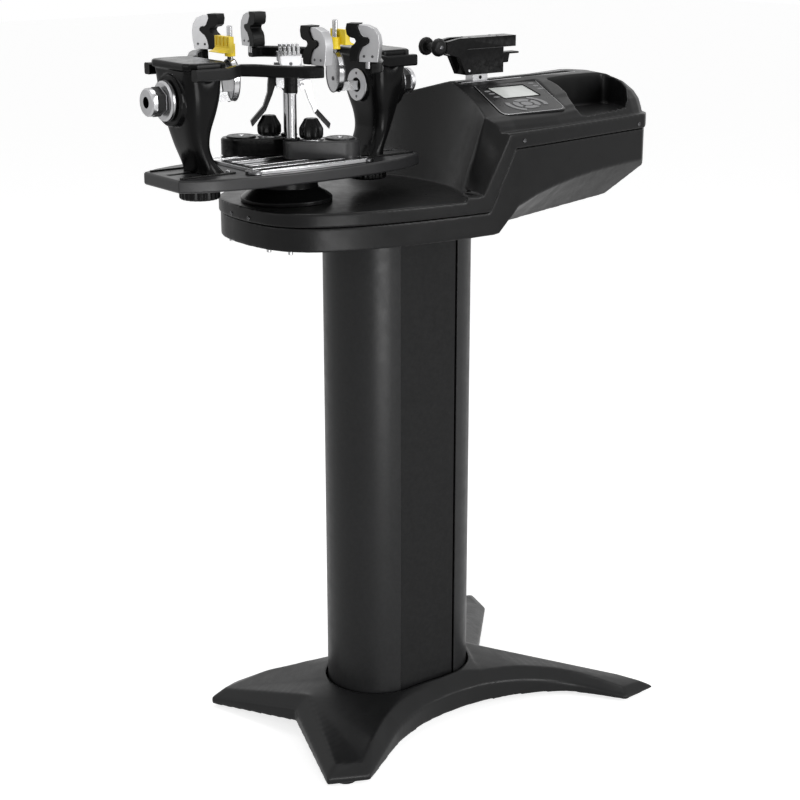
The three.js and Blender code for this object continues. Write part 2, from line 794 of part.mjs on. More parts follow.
// Slanting corner between the hollow wall and the climbing rim, on one side; it runs from the rim's line to
// the crease on the wall.
function cornerCut(side, distance) {
  const rimY = head.width / 2 - head.lap;
  const rimLow = [head.slopeStart, rimY, head.rimHeight];
  const rimTop = [slopeEnd, rimY, head.rearRimHeight];
  const creaseLow = [head.slopeStart + head.creaseLowBack, rimY - head.creaseLowIn, head.rimHeight];
  const creaseTop = [
    slopeEnd - head.creaseTopForward,
    rimY - head.creaseTopIn,
    head.rearRimHeight + head.creaseTopRise,
  ];
  const beyond = (p, q, share) => p.map((v, axis) => v + (q[axis] - v) * share);
  const ring = (low, top) => {
    const high = [top[0] * 2 - low[0], top[1], aloft];
    const back = ([x, y, z]) => [x - head.width, y, z];
    return [low, top, high, back(high), back(low)];
  };
  const rim = ring(rimLow, rimTop);
  const crease = ring(creaseLow, creaseTop);
  const inner = crease.map((place, i) => beyond(rim[i], place, overShare));
  const outer = rim.map(([x, y, z]) => [x, y + head.lap + tiny, z]);
  const placed = (points) => points.map(([x, y, z]) => [x + distance, side * y, z]);
  return loft([inner, crease, rim, outer].map(placed));
}

// Control panel: a film on a tilted seat, its ends slanting along the hollow wall.
const panelFall = panel.farHeight - panel.nearHeight;
const panelRun = panel.nearEdge - panel.farEdge;
const panelTilt = Math.atan2(panelFall, panelRun);
const panelDepth = Math.hypot(panelFall, panelRun);
const panelMiddle = panel.start + panel.length / 2;
const halfPanel = panel.length / 2;
const degrees = (radians) => (radians * 180) / Math.PI;
// Lays a solid built flat, its far edge on y = 0 and its top on z = 0, on the tilted seat.
const onPanel = (solid) =>
  solid.rotate([degrees(panelTilt), 0, 0]).translate([panelMiddle, -panel.farEdge, panel.farHeight]);
// Moves a place on a square film to where it lies on the slanting one.
const leaned = ([x, y]) => [x + (panel.lean * y) / panelDepth, y];
const cornerRound = panel.cornerRun * cornerShare;
const panelOutline = [
  [-halfPanel, 0],
  [-halfPanel, -panelDepth + panel.cornerRun],
  [-halfPanel + cornerRound, -panelDepth + cornerRound],
  [-halfPanel + panel.cornerRun, -panelDepth],
  [halfPanel - cornerRound, -panelDepth],
  [halfPanel, -panelDepth + cornerRound],
  [halfPanel, 0],
].map(leaned);

// The seat of the film, open upwards; for the shell's hollow it is grown by the wall.
function panelSeat(grow) {
  return onPanel(prism(inset(panelOutline, -gap - grow), -panel.seatDepth - grow, head.crownHeight));
}

// The tool tray sunk in the crown behind the panel.
function trayPocket(grow) {
  const outline = trayShares.map(([along, across]) => {
    const x = tray.start + along * (tray.end - tray.start);
    return [x, -tray.farEdge - across * (headHalf(x, tray.nearMargin) - tray.farEdge)];
  });
  return prism(inset(outline, -grow), tray.floorHeight - grow, aloft);
}

const halfSlot = slot.width / 2;
const upperBlock = (distance) => {
  const outline = prism(headOutline(distance), 0, aloft);
  const band = [...raised(seamLine, -head.wall * 2), ...rimLine(distance).reverse()];
  return sidePrism(band, -head.width, head.width).intersect(outline).add(crown(distance + head.lap));
};
const aboveSeam = sidePrism(
  [...raised(seamLine, gap), [rearEnd, aloft], [noseEnd, aloft]],
  -head.width,
  head.width,
);
const deckRecess = prism(inset(headOutline(0), head.rimRun), deckTop, head.crownHeight).intersect(
  box(noseEnd, head.slopeStart, -head.width, head.width, deckTop, head.crownHeight),
);
// Inside the lower shell's walls the upper one reaches down to the deck, which closes the hollow wall.
const innerOutline = headOutline(head.lap + head.wall + gap);
const innerZone = prism(innerOutline, deckTop - head.wall, head.crownHeight).intersect(
  sweep(head.wall, deckTop - head.wall),
);
let upperShell = upperBlock(0).intersect(aboveSeam.add(innerZone)).subtract(sweep(0, deckTop)).subtract(deckRecess);
let upperHollow = upperBlock(head.wall).subtract(sweep(head.wall, deckTop - head.wall));
for (const side of [-1, 1]) {
  upperShell = upperShell.subtract(cornerCut(side, 0));
  upperHollow = upperHollow.subtract(cornerCut(side, head.wall * slantShare));
}
const deckRoof = box(noseEnd, head.slopeStart + head.wall, -head.width, head.width, deckTop - head.wall,
  head.crownHeight);
upperHollow = upperHollow.subtract(deckRoof).subtract(panelSeat(head.wall));
upperHollow = upperHollow.subtract(trayPocket(head.wall));
const slotOpening = box(slot.start, slot.end, -halfSlot, halfSlot, frame.railHeight, aloft);
upperShell = upperShell.subtract(panelSeat(0)).subtract(trayPocket(0)).subtract(slotOpening);
upperShell = upperShell.subtract(upperHollow);
addOnHead("upper_shell", upperShell, shellPlastic);

// Hollowed flank under the pulling unit, one side: a wedge whose top edge arches up to the rear.
function scoop(side) {
  const ring = (share) => {
    const x = head.scoopStart + (rearEnd - head.scoopStart) * share;
    const rise = head.scoopTop * Math.sqrt(1 - (1 - share) ** scoopCurveShare);
    const half = headHalf(x, head.lap);
    const slope = (rise + head.wall) / head.scoopDepth;
    const outer = half + head.wall;
    return [
      [x, side * (half - head.scoopDepth), -head.wall],
      [x, side * outer, rise + head.wall * slope],
      [x, side * outer, -head.wall],
    ];
  };
  return loft(Array.from({ length: head.scoopSteps + 1 }, (_, i) => ring(i / head.scoopSteps)));
}

function lowerBlock(distance) {
  const profile = [...raised(seamLine, head.wall * (distance > 0 ? 1 : 0)), ...raised(floorLine, distance)];
  const outline = prism(headOutline(head.lap + distance), -tiny, head.crownHeight);
  let block = sidePrism(profile, -head.width, head.width).intersect(outline);
  for (const side of [-1, 1]) {
    const cut = scoop(side).translate([0, -side * distance, distance]);
    block = block.subtract(cut);
  }
  return block;
}
const cableWay = rod("z", flatHalf / 2, -tiny, head.wall + tiny, [0, 0]);
addOnHead("lower_shell", lowerBlock(0).subtract(lowerBlock(head.wall)).subtract(cableWay), shellPlastic);

// Pulling unit.
const frameTop = frame.railHeight;
const halfRails = frame.railSpacing / 2;
const halfFrame = frame.width / 2;
// Top of the head's floor plate at a place along it, with room for what lies on it.
function innerFloor(x) {
  const run = head.rearFloorAt - head.floorBend;
  const share = Math.max(0, (x - head.floorBend) / run);
  return head.wall + gap * 2 + share * head.rearFloorHeight;
}
const endTop = frameTop + frame.railRadius + frame.endOver;
const frameStart = hub.at + wallRadiusAt(endTop) + head.wall + frame.room;
const bedStart = -column.flat / 2;
const bedTop = innerFloor(frameStart) + frame.bedThick;
let slideFrame = box(frameStart, frameStart + frame.endThick, -halfFrame, halfFrame, bedTop - tiny, endTop);
slideFrame = slideFrame.add(
  box(frame.end - frame.endThick, frame.end, -halfFrame, halfFrame, head.rearKnee, endTop),
);
for (const side of [-1, 1])
  slideFrame = slideFrame.add(
    rod("x", frame.railRadius, frameStart + tiny, frame.end - tiny, [side * halfRails, frameTop]),
  );
const braceBend = frameStart + frame.endThick;
const braceLine = [
  [bedStart, innerFloor(bedStart)],
  [head.floorBend, innerFloor(head.floorBend)],
  [braceBend, innerFloor(braceBend)],
  [frame.end, head.rearKnee],
  [frame.end, head.rearKnee + frame.bedThick],
  [frameStart, bedTop],
  [bedStart, innerFloor(bedStart) + frame.bedThick],
];
slideFrame = slideFrame.add(sidePrism(braceLine, -halfFrame, halfFrame));
addOnHead("slide_frame", slideFrame, satin);

const carriageStart = carriage.at - carriage.length / 2;
const carriageEnd = carriage.at + carriage.length / 2;
const halfCarriage = carriage.width / 2;
const halfNeck = carriage.neckWidth / 2;
let slider = box(carriageStart, carriageEnd, -halfCarriage, halfCarriage, frameTop - carriage.height / 2,
  frameTop + carriage.height / 2);
slider = slider.add(
  box(carriage.at - carriage.neckLength / 2, carriage.at + carriage.neckLength / 2, -halfNeck, halfNeck,
    frameTop, grip.bottom - gap),
);
for (const side of [-1, 1])
  slider = slider.subtract(
    rod("x", frame.railRadius + gap, carriageStart - tiny, carriageEnd + tiny, [side * halfRails, frameTop]),
  );
addOnHead("pull_carriage", slider, satin);

const halfGrip = grip.width / 2;
const gripProfile = [
  [grip.bodyStart, grip.bottom],
  [grip.bodyEnd, grip.bottom],
  [grip.bodyEnd, grip.top - grip.plateThick],
  [grip.plateEnd, grip.top - grip.plateThick],
  [grip.plateEnd, grip.top],
  [grip.bodyStart - grip.forkGap, grip.top],
  [grip.noseStart, grip.noseTop],
  [grip.noseStart, grip.noseBottom],
  [grip.bodyStart - grip.forkGap, grip.noseBottom - grip.forkGap / 2],
];
const halfFork = grip.forkGap / 2;
const stringWay = box(grip.noseStart - tiny, grip.bodyStart, -halfFork, halfFork, grip.bottom, grip.top + tiny);
const forkEnd = grip.rollerAt - grip.axleRadius * 2;
let gripHead = sidePrism(gripProfile, -halfGrip, halfGrip).subtract(stringWay);
for (const side of [-1, 1]) {
  const cheek = box(forkEnd, grip.noseStart + tiny, side < 0 ? -halfFork - grip.axleRadius : halfFork,
    side < 0 ? -halfFork : halfFork + grip.axleRadius, grip.rollerHeight - grip.rollerWaist,
    grip.rollerHeight + grip.rollerWaist);
  gripHead = gripHead.add(cheek);
}
const axleBore = rod("y", grip.axleRadius + gap, -halfGrip - tiny, halfGrip + tiny, [grip.rollerAt,
  grip.rollerHeight]);
const leverMiddle = (grip.leverTop + grip.leverBottom) / 2;
const leverPivot = [grip.bodyEnd - grip.leverPivotIn, leverMiddle];
const halfLever = grip.leverWidth / 2;
const leverStart = leverPivot[0] - grip.leverPivotIn;
const notchHalf = halfLever + gap;
// Room for the lever's inner corners as it swings.
const leverSwing = Math.hypot(grip.leverPivotIn, grip.leverTop - leverMiddle) + gap;
const leverNotch = box(leverPivot[0] - leverSwing, grip.bodyEnd + tiny, -notchHalf, notchHalf,
  leverMiddle - leverSwing - grip.leverPin, leverMiddle + leverSwing);
const pinHalf = halfLever + grip.leverPin;
gripHead = gripHead.subtract(leverNotch).subtract(axleBore);
gripHead = gripHead.subtract(rod("y", grip.leverPin + gap, -pinHalf - gap, pinHalf + gap, leverPivot));
addOnHead("grip_head", gripHead, blackMetal);

// Spool that guides the string into the gripper: a round flange each side of the fork, a waist in it.
const flangeIn = halfFork + grip.axleRadius + gap;
const flangeRun = grip.rollerWidth / 2 - flangeIn;
const flange = flangeShares.map(([out, up]) => [out * grip.rollerRadius, -flangeIn - up * flangeRun]);
const waistHalf = halfFork - gap;
const spoolSide = [
  ...flange,
  [grip.axleRadius, -flangeIn],
  [grip.axleRadius, -waistHalf],
  [grip.rollerWaist, -waistHalf],
];
const spoolOther = spoolSide.map(([r, h]) => [r, -h]).reverse();
const spool = turned([...spoolSide, ...spoolOther]).rotate([90, 0, 0]);
addOnHead("grip_spool", spool.translate([grip.rollerAt, 0, grip.rollerHeight]), rubber);

const tongueBottom = grip.leverTop - grip.leverTongue;
const leverProfile = [
  [leverStart, grip.leverBottom],
  [grip.leverEnd, grip.leverBottom],
  [grip.leverEnd + grip.leverTongue, tongueBottom],
  [grip.leverTip, tongueBottom],
  [grip.leverTip, grip.leverTop],
  [leverStart, grip.leverTop],
];
const gripLever = sidePrism(leverProfile, -halfLever, halfLever);
addOnHead("grip_lever", gripLever.add(rod("y", grip.leverPin, -pinHalf, pinHalf, leverPivot)), blackPlastic);

// Screen and keys on the film.
const halfScreen = panel.screenLength / 2;
const screenFar = -panel.screenFromFar;
const screenNear = screenFar - panel.screenWidth;
const [screenAt] = leaned([0, (screenFar + screenNear) / 2]);
const [keysAt, keyRow] = leaned([0, -panelDepth + panel.keysFromNear]);
const screenSeat = box(screenAt - halfScreen - gap, screenAt + halfScreen + gap, screenNear - gap,
  screenFar + gap, -panel.filmThick - tiny, tiny);
const quarter = Math.PI / 2;
const arcTurn = arcTurnShare * quarter;
// Each key: inner and outer radius, then the angles between which it lies.
const keyShapes = {
  key_enter: [0, panel.enterRadius, 0, quarter * 4],
  key_right: [panel.ringInner, panel.ringOuter, -quarter / 2, quarter / 2],
  key_up: [panel.ringInner, panel.ringOuter, quarter / 2, quarter + quarter / 2],
  key_left: [panel.ringInner, panel.ringOuter, quarter + quarter / 2, quarter * 2 + quarter / 2],
  key_down: [panel.ringInner, panel.ringOuter, -quarter - quarter / 2, -quarter / 2],
  key_more: [panel.arcInner, panel.arcOuter, arcTurn - quarter / 2, arcTurn + quarter / 2],
  key_less: [panel.arcInner, panel.arcOuter, arcTurn + quarter * 3 / 2, arcTurn + quarter * 5 / 2],
};

// A key seen from above, between two circles and two spokes, stretched along the film.
function keySolid([inner, outer, from, to], margin, low, high) {
  const arc = (radius) => {
    const start = inner > 0 ? from + (panel.keyGap - margin) / radius : from;
    const end = inner > 0 ? to - (panel.keyGap - margin) / radius : to;
    const steps = inner > 0 ? panel.arcSteps : midSteps;
    return Array.from({ length: steps + (inner > 0 ? 1 : 0) }, (_, i) => {
      const angle = start + ((end - start) * i) / steps;
      return [keysAt + radius * Math.cos(angle) * keyStretchShare, keyRow + radius * Math.sin(angle)];
    });
  };
  const near = inner > 0 ? arc(inner - margin).reverse() : [];
  return prism([...arc(outer + margin), ...near], low, high);
}

let bezel = prism(panelOutline, -panel.filmThick, 0).subtract(screenSeat);
for (const shape of Object.values(keyShapes))
  bezel = bezel.subtract(keySolid(shape, gap, -panel.filmThick - tiny, tiny));
addOnHead("panel_bezel", onPanel(bezel), panelFilm);
const screenTop = panel.screenThick - panel.filmThick;
const screen = box(screenAt - halfScreen, screenAt + halfScreen, screenNear, screenFar, -panel.filmThick,
  screenTop);
addOnHead("panel_screen", onPanel(screen), screenGlass);
for (const [name, shape] of Object.entries(keyShapes))
  addOnHead(name, onPanel(keySolid(shape, 0, panel.keyStand - panel.keyThick, panel.keyStand)), keyGrey);

// Turntable.
const neckBottom = deckTop + hub.discThick;
const hubProfile = [
  [0, deckTop + gap],
  [hub.discRadius, deckTop + gap],
  [hub.discRadius, deckTop + hub.edgeThick],
  [hub.shoulderRadius, neckBottom - hub.edgeThick],
  [hub.neckRadius, neckBottom],
  [hub.neckRadius, beam.bottom - gap],
  [0, beam.bottom - gap],
];
addOnHead("hub_bearing", turned(hubProfile, fineSteps).translate([hub.at, 0, 0]), blackMetal);

const beamTop = beam.bottom + beam.thick;
function beamOutline(distance) {
  const quarter = beamShares.map(([along, across]) => [along * beam.halfLength, (-across * beam.width) / 2]);
  const side = [...quarter.slice(1).map(([x, y]) => [-x, y]).reverse(), ...quarter];
  return inset([...side, ...side.map(([x, y]) => [-x, -y])], distance);
}
const level = (outline, z) => outline.map(([x, y]) => [x, y, z]);
let beamSolid = loft([
  level(beamOutline(beam.bevel), beam.bottom),
  level(beamOutline(0), beam.bottom + beam.bevel),
  level(beamOutline(0), beamTop - beam.bevel),
  level(beamOutline(beam.bevel), beamTop),
]);
const halfSlotWidth = beam.slotWidth / 2;
for (const side of [-1, 1]) {
  const [near, far] = side < 0 ? [-beam.slotEnd, -beam.slotStart] : [beam.slotStart, beam.slotEnd];
  const cut = box(near, far, -halfSlotWidth, halfSlotWidth, beam.bottom - tiny, beamTop + tiny);
  beamSolid = beamSolid.subtract(cut);
}
addOnHead("turntable_beam", beamSolid.translate([hub.at, 0, 0]), blackMetal);

// Polished plate whose long windows leave the two rails and the two inner tracks for the string clamps.
const glideLow = beamTop + gap;
const glideTop = glideLow + glide.thick;
const windowHalf = glide.halfLength - glide.bridge;
let glidePlate = prism(beamOutline(glide.margin), glideLow, glideTop).intersect(
  box(-glide.halfLength, glide.halfLength, -beam.width, beam.width, glideLow, glideTop),
);
const windows = [
  [-glide.innerEdge, -glide.trackEdge - glide.trackWidth],
  [-glide.trackEdge, glide.trackEdge],
  [glide.trackEdge + glide.trackWidth, glide.innerEdge],
];
for (const [near, far] of windows)
  glidePlate = glidePlate.subtract(box(-windowHalf, windowHalf, near, far, glideLow - tiny, glideTop + tiny));
addOnHead("glide_plate", glidePlate.translate([hub.at, 0, 0]), bright);

// Posts. Everything on a post is drawn for the rear one, measured from the turntable's axis.
const ends = { rear: 0, front: 180 };
const onTurntable = (solid, end) => solid.rotate([0, 0, ends[end]]).translate([hub.at, 0, 0]);

// A rectangle with cut corners at one height, its corners `round` long.
function roundedRing(x0, x1, half, round, z) {
  const soft = round * cornerShare;
  return [
    [x0 + round, -half, z],
    [x1 - round, -half, z],
    [x1 - soft, -half + soft, z],
    [x1, -half + round, z],
    [x1, half - round, z],
    [x1 - soft, half - soft, z],
    [x1 - round, half, z],
    [x0 + round, half, z],
    [x0 + soft, half - soft, z],
    [x0, half - round, z],
    [x0, -half + round, z],
    [x0 + soft, -half + soft, z],
  ];
}

const postFoot = beamTop + gap;
const postRise = post.bodyTop - postFoot;
let postSolid = loft(
  postShares.map(([up, inner, outer, half]) =>
    roundedRing(inner * post.baseInner, outer * post.baseInner, half * post.baseInner, post.round,
      postFoot + up * postRise),
  ),
);
const capRings = [
  [0, post.bodyTop - tiny],
  [0, post.top - beam.bevel],
  [beam.bevel, post.top],
];
const postCap = loft(
  capRings.map(([drawn, z]) =>
    roundedRing(post.capInner + drawn, post.capOuter - drawn, post.capHalf - drawn, post.round, z),
  ),
);
const axis = [0, post.axisHeight];
const guideHeight = arm.top - arm.guideDrop;
const halfBar = support.barWidth / 2;
const sleeveBore = adjuster.sleeveRadius + post.boreGap;
const barHalf = halfBar + post.boreGap;
postSolid = postSolid
  .add(postCap)
  .add(rod("x", post.bossRadius, post.bossStart, post.bossEnd, axis, fineSteps))
  .add(rod("x", post.flangeRadius, post.flangeStart, post.flangeEnd, axis, midSteps))
  .subtract(rod("x", sleeveBore, adjuster.stemStart - gap, post.bossEnd + tiny, axis))
  .subtract(box(post.flangeStart - tiny, adjuster.stemStart, -barHalf, barHalf, post.axisHeight - barHalf,
    post.axisHeight + barHalf))
  .subtract(rod("y", post.guideRadius + post.boreGap, -post.capHalf, post.capHalf, [post.guideAt,
    guideHeight]))
  .subtract(rod("z", lockKnob.screwRadius + gap, postFoot - tiny, postFoot + post.screwDepth + gap,
    [lockKnob.at, 0]));
for (const end of Object.keys(ends)) addOnHead(`post_${end}`, onTurntable(postSolid, end), blackMetal);

// Ribbed knob under the turntable; its screw holds the post.
const ribbed = [];
for (let i = 0; i < lockKnob.ribs * 2; i++) {
  const angle = (Math.PI * i) / lockKnob.ribs;
  const radius = lockKnob.radius - (i % 2) * lockKnob.ribDepth;
  ribbed.push([lockKnob.at + radius * Math.cos(angle), radius * Math.sin(angle)]);
}
const knobBottom = beam.bottom - gap - lockKnob.thick;
const lockSolid = loft([
  level(inset(ribbed, lockKnob.chamfer), knobBottom),
  level(ribbed, knobBottom + lockKnob.chamfer),
  level(ribbed, beam.bottom - gap),
]).add(rod("z", lockKnob.screwRadius, beam.bottom - tiny, postFoot + post.screwDepth, [lockKnob.at, 0]));
for (const end of Object.keys(ends)) addOnHead(`lock_knob_${end}`, onTurntable(lockSolid, end), blackPlastic);

// Ring that moves both arms of a post, and the knob in its middle that moves the centre support.
const upright = (profile) => turned(profile, midSteps).rotate([0, 90, 0]).translate([0, 0, post.axisHeight]);
const flangeEnd = adjuster.flangeAt + adjuster.flangeThick;
const ringProfile = [
  [0, adjuster.sleeveStart],
  [adjuster.sleeveRadius, adjuster.sleeveStart],
  [adjuster.sleeveRadius, adjuster.flangeAt],
  [adjuster.flangeRadius - adjuster.flangeChamfer, adjuster.flangeAt],
  [adjuster.flangeRadius, adjuster.flangeAt + adjuster.flangeChamfer],
  [adjuster.flangeRadius, flangeEnd - adjuster.flangeChamfer],
  [adjuster.flangeRadius - adjuster.flangeChamfer, flangeEnd],
  [0, flangeEnd],
];
const stemBore = rod("x", adjuster.stemRadius + gap, adjuster.sleeveStart - tiny, flangeEnd + tiny, axis);
const sideAdjuster = upright(ringProfile).subtract(stemBore);
const faceProfile = [
  [0, adjuster.gripEnd],
  [adjuster.knobRadius, adjuster.gripEnd],
  [adjuster.knobRadius, adjuster.knobEnd - adjuster.knobChamfer],
  [adjuster.knobRadius - adjuster.knobChamfer, adjuster.knobEnd],
  [0, adjuster.knobEnd],
];
const centreAdjuster = upright(faceProfile)
  .add(rod("x", adjuster.knobRadius, adjuster.knobAt, adjuster.gripEnd + tiny, axis, adjuster.gripSides))
  .add(rod("x", adjuster.stemRadius, adjuster.stemStart + gap, adjuster.knobAt + tiny, axis))
  .subtract(rod("x", adjuster.boreRadius, adjuster.knobEnd - adjuster.boreDepth, adjuster.knobEnd + tiny, axis));
for (const end of Object.keys(ends)) {
  addOnHead(`side_adjuster_${end}`, onTurntable(sideAdjuster, end), satin);
  addOnHead(`centre_adjuster_${end}`, onTurntable(centreAdjuster, end), satin);
}

// Arms, jaws: drawn for the far side of the rear post.
const armLength = arm.outerEnd - arm.innerEnd;
const armBow = arm.atClamp - arm.atPost;
const armPlaces = armShares.map(([along, out]) => [arm.outerEnd - along * armLength, arm.atPost + out * armBow]);
const armRings = armShares.map(([, , up], i) => {
  const before = armPlaces[Math.max(0, i - 1)];
  const after = armPlaces[Math.min(armPlaces.length - 1, i + 1)];
  const [dx, dy] = [after[0] - before[0], after[1] - before[1]];
  const length = Math.hypot(dx, dy);
  const across = [dy / length, -dx / length];
  const top = arm.top - (1 - up) * arm.heelDrop;
  const half = arm.width / 2;
  const section = [
    [-half, arm.chamfer],
    [-half, arm.thick - arm.chamfer],
    [-half + arm.chamfer, arm.thick],
    [half - arm.chamfer, arm.thick],
    [half, arm.thick - arm.chamfer],
    [half, arm.chamfer],
    [half - arm.chamfer, 0],
    [-half + arm.chamfer, 0],
  ];
  const [x, y] = armPlaces[i];
  return section.map(([a, drop]) => [x + across[0] * a, y + across[1] * a, top - drop]);
});
const guideBar = rod("y", post.guideRadius, arm.guideReach, arm.atPost, [post.guideAt, guideHeight]);
const jawPinLow = arm.top - jaw.pinDepth;
const pinBore = rod("z", jaw.pinRadius + gap, jawPinLow - gap, arm.top + tiny, [jaw.at, jaw.middle]);
const armSolid = loft(armRings).add(guideBar).subtract(pinBore);

const jawBottom = arm.top + jaw.lift;
const jawOutline = (shares) =>
  shares.map(([inwards, up]) => [
    jaw.middle + jaw.spineReach - inwards * jaw.depth,
    jawBottom + up * jaw.height,
  ]);
const halfPlate = jaw.plateLength / 2;
const halfPad = jaw.padLength / 2;
const plateOutline = jawOutline(jawPlateShares).reverse();
const jawPin = rod("z", jaw.pinRadius, jawPinLow, jawBottom + tiny, [jaw.at, jaw.middle]);
const jawPlate = endPrism(plateOutline, jaw.at - halfPlate, jaw.at + halfPlate).add(jawPin);
const padRoom = endPrism(inset(plateOutline, -gap), jaw.at - halfPad - tiny, jaw.at + halfPad + tiny);
const jawPad = endPrism(jawOutline(jawPadShares), jaw.at - halfPad, jaw.at + halfPad).subtract(padRoom);

for (const end of Object.keys(ends))
  for (const side of ["near", "far"]) {
    const flip = (side === "near") === (end === "rear");
    const sided = (solid) => onTurntable(flip ? solid.mirror([0, 1, 0]) : solid, end);
    const place = `${end}_${side}`;
    const across = side === "near" ? -jaw.middle : jaw.middle;
    const along = hub.at + (end === "front" ? -jaw.at : jaw.at);
    const turnedJaw = (solid) =>
      sided(solid).translate([-along, -across, 0]).rotate([0, 0, jawTurn[place]]).translate([along, across, 0]);
    addOnHead(`arm_${place}`, sided(armSolid), blackMetal);
    addOnHead(`jaw_plate_${place}`, turnedJaw(jawPlate), satin);
    addOnHead(`jaw_pad_${place}`, turnedJaw(jawPad), rubber);
  }

// Centre supports: square bar, round-ended disc and pin, with the yellow cradle on the pin.
const discHalf = support.discHeight / 2;
const discEnd = support.discAt + support.discThick;
const pinAt = (support.discAt + discEnd) / 2;
const squash = support.discWidth / support.discHeight;
const disc = rod("x", discHalf, support.discAt, discEnd, [0, 0], midSteps)
  .scale([1, squash, 1])
  .translate([0, 0, post.axisHeight + support.discRise]);
const centreBar = box(discEnd - tiny, support.barBack, -halfBar, halfBar, post.axisHeight - halfBar,
  post.axisHeight + halfBar)
  .add(disc)
  .add(rod("z", support.pinRadius, post.axisHeight, support.pinTop, [pinAt, 0]));
const wallNear = pinAt + support.wallIn;
const wallFar = pinAt + support.wallOut;
const halfWall = support.wallWidth / 2;
const cradleProfile = [
  [wallNear, support.wallBottom],
  [pinAt + support.lipOut, support.wallBottom],
  [pinAt + support.lipOut, support.wallBottom + tiny],
  [wallFar + support.lipThick, support.wallBottom + support.lipThick],
  [wallFar, support.wallBottom + support.lipThick * 2],
  [wallFar, support.wallTop],
  [wallNear, support.wallTop],
];
let cradle = sidePrism(cradleProfile, -halfWall, halfWall).add(
  rod("z", support.tubeRadius, support.tubeBottom, support.tubeTop, [pinAt, 0]),
);
const grooveSpacing = support.wallWidth / support.grooves;
for (let i = 0; i < support.grooves; i++) {
  const y = -halfWall + grooveSpacing * (i + 1 / 2);
  const groove = box(wallFar - support.grooveDepth, wallFar + tiny, y - support.grooveWidth / 2,
    y + support.grooveWidth / 2, support.wallBottom + support.grooveFoot, support.wallTop + tiny);
  cradle = cradle.subtract(groove);
}
cradle = cradle.subtract(rod("z", support.pinRadius + gap, support.tubeBottom - tiny, support.wallTop + tiny,
  [pinAt, 0]));
for (const end of Object.keys(ends)) {
  addOnHead(`centre_bar_${end}`, onTurntable(centreBar, end), bright);
  addOnHead(`cradle_${end}`, onTurntable(cradle, end), yellow);
}

// String clamps, drawn with the stem on the z axis and the block running towards +X.
const blockLow = glideTop + gap;
const blockTop = blockLow + clamp.blockHeight;
const discAt = clamp.blockLength - clamp.stemInset - clamp.discInset;
const blockOutline = [];
for (let i = 0; i <= roundSteps / 2; i++) {
  const angle = Math.PI * (i / (roundSteps / 2) - 1 / 2);
  blockOutline.push([discAt + clamp.discInset * Math.cos(angle), clamp.wideHalf * Math.sin(angle)]);
}
const narrowEnd = [
  [0, clamp.narrowHalf],
  [-clamp.stemInset * cornerFarShare, clamp.narrowHalf * cornerNearShare],
  [-clamp.stemInset, clamp.narrowHalf * cornerFarShare],
];
blockOutline.push(...narrowEnd, ...narrowEnd.map(([x, y]) => [x, -y]).reverse());
const knobPlace = [clamp.knobFromStem, 0];
const spigotLow = blockTop - clamp.spigotDepth;
const spigotBore = (place) =>
  rod("z", clamp.spigotRadius + gap, spigotLow - gap, blockTop + tiny, place);
const clampBlock = loft([
  level(blockOutline, blockLow),
  level(blockOutline, blockTop - clamp.bevel),
  level(inset(blockOutline, clamp.bevel), blockTop),
])
  .add(rod("z", clamp.discRadius, blockTop - tiny, blockTop + clamp.discRise, [discAt, 0], midSteps))
  .subtract(spigotBore([0, 0]))
  .subtract(spigotBore(knobPlace));

const knobLow = blockTop + clamp.knobLift;
const clampKnob = turned(knobShares.map(([out, up]) => [out * clamp.knobRadius, knobLow + up * clamp.knobHeight]))
  .translate([...knobPlace, 0])
  .add(rod("z", clamp.spigotRadius, spigotLow, knobLow + tiny, knobPlace));

const headRise = clamp.headTop - clamp.collarTop;
const headOutlineXZ = clampHeadShares.map(([along, up]) => [
  along * clamp.headHalfLength,
  clamp.collarTop - tiny + up * headRise,
]);
let clampHead = rod("z", clamp.stemRadius, blockTop + gap, clamp.stemTop, [0, 0])
  .add(rod("z", clamp.spigotRadius, spigotLow, blockTop + tiny, [0, 0]))
  .add(rod("z", clamp.collarRadius, clamp.stemTop - tiny, clamp.collarTop, [0, 0]))
  .add(sidePrism(headOutlineXZ, -clamp.headHalfWidth, clamp.headHalfWidth));
const toothSpacing = (clamp.headHalfLength * 2) / clamp.teeth;
const toothFoot = clamp.headTop - clamp.toothHeight - clamp.toothSink;
for (let i = 0; i < clamp.teeth; i++) {
  const start = -clamp.headHalfLength + toothSpacing * i;
  const tooth = box(start, start + toothSpacing * toothShare, -clamp.headHalfWidth, clamp.headHalfWidth,
    toothFoot, clamp.headTop);
  clampHead = clampHead.add(tooth);
}
const earLow = clamp.earHeight - clamp.earWidth / 2;
const earTop = clamp.collarTop + clamp.earOver;
const earEnd = clamp.earAt + clamp.earWidth / 2;
clampHead = clampHead
  .subtract(box(-clamp.headHalfLength - tiny, clamp.headHalfLength + tiny, -clamp.headSlit, clamp.headSlit,
    clamp.headTop - headRise / 2, clamp.headTop + tiny))
  .add(box(-earEnd, earEnd, -clamp.earHalf, clamp.earHalf, earLow, earTop))
  .subtract(rod("y", clamp.pivotRadius + gap, -clamp.earHalf - tiny, clamp.earHalf + tiny, [clamp.earAt,
    clamp.earHeight]));

const leverOutline = leverShares
  .map(([out, up]) => [out * clamp.earAt, clamp.earHeight + up * clamp.leverRise])
  .reverse();
// The lever's slot clears the ear's corners all through its swing.
const earRoom = clamp.earHalf + gap;
const earSwing = Math.hypot(clamp.earWidth / 2, clamp.earWidth / 2) + gap;
const clampLever = sidePrism(leverOutline, -clamp.leverHalf, clamp.leverHalf)
  .subtract(box(0, clamp.earAt * 2, -earRoom, earRoom, clamp.earHeight - earSwing, clamp.headTop))
  .add(rod("y", clamp.pivotRadius, -clamp.leverHalf, clamp.leverHalf, [clamp.earAt, clamp.earHeight]));

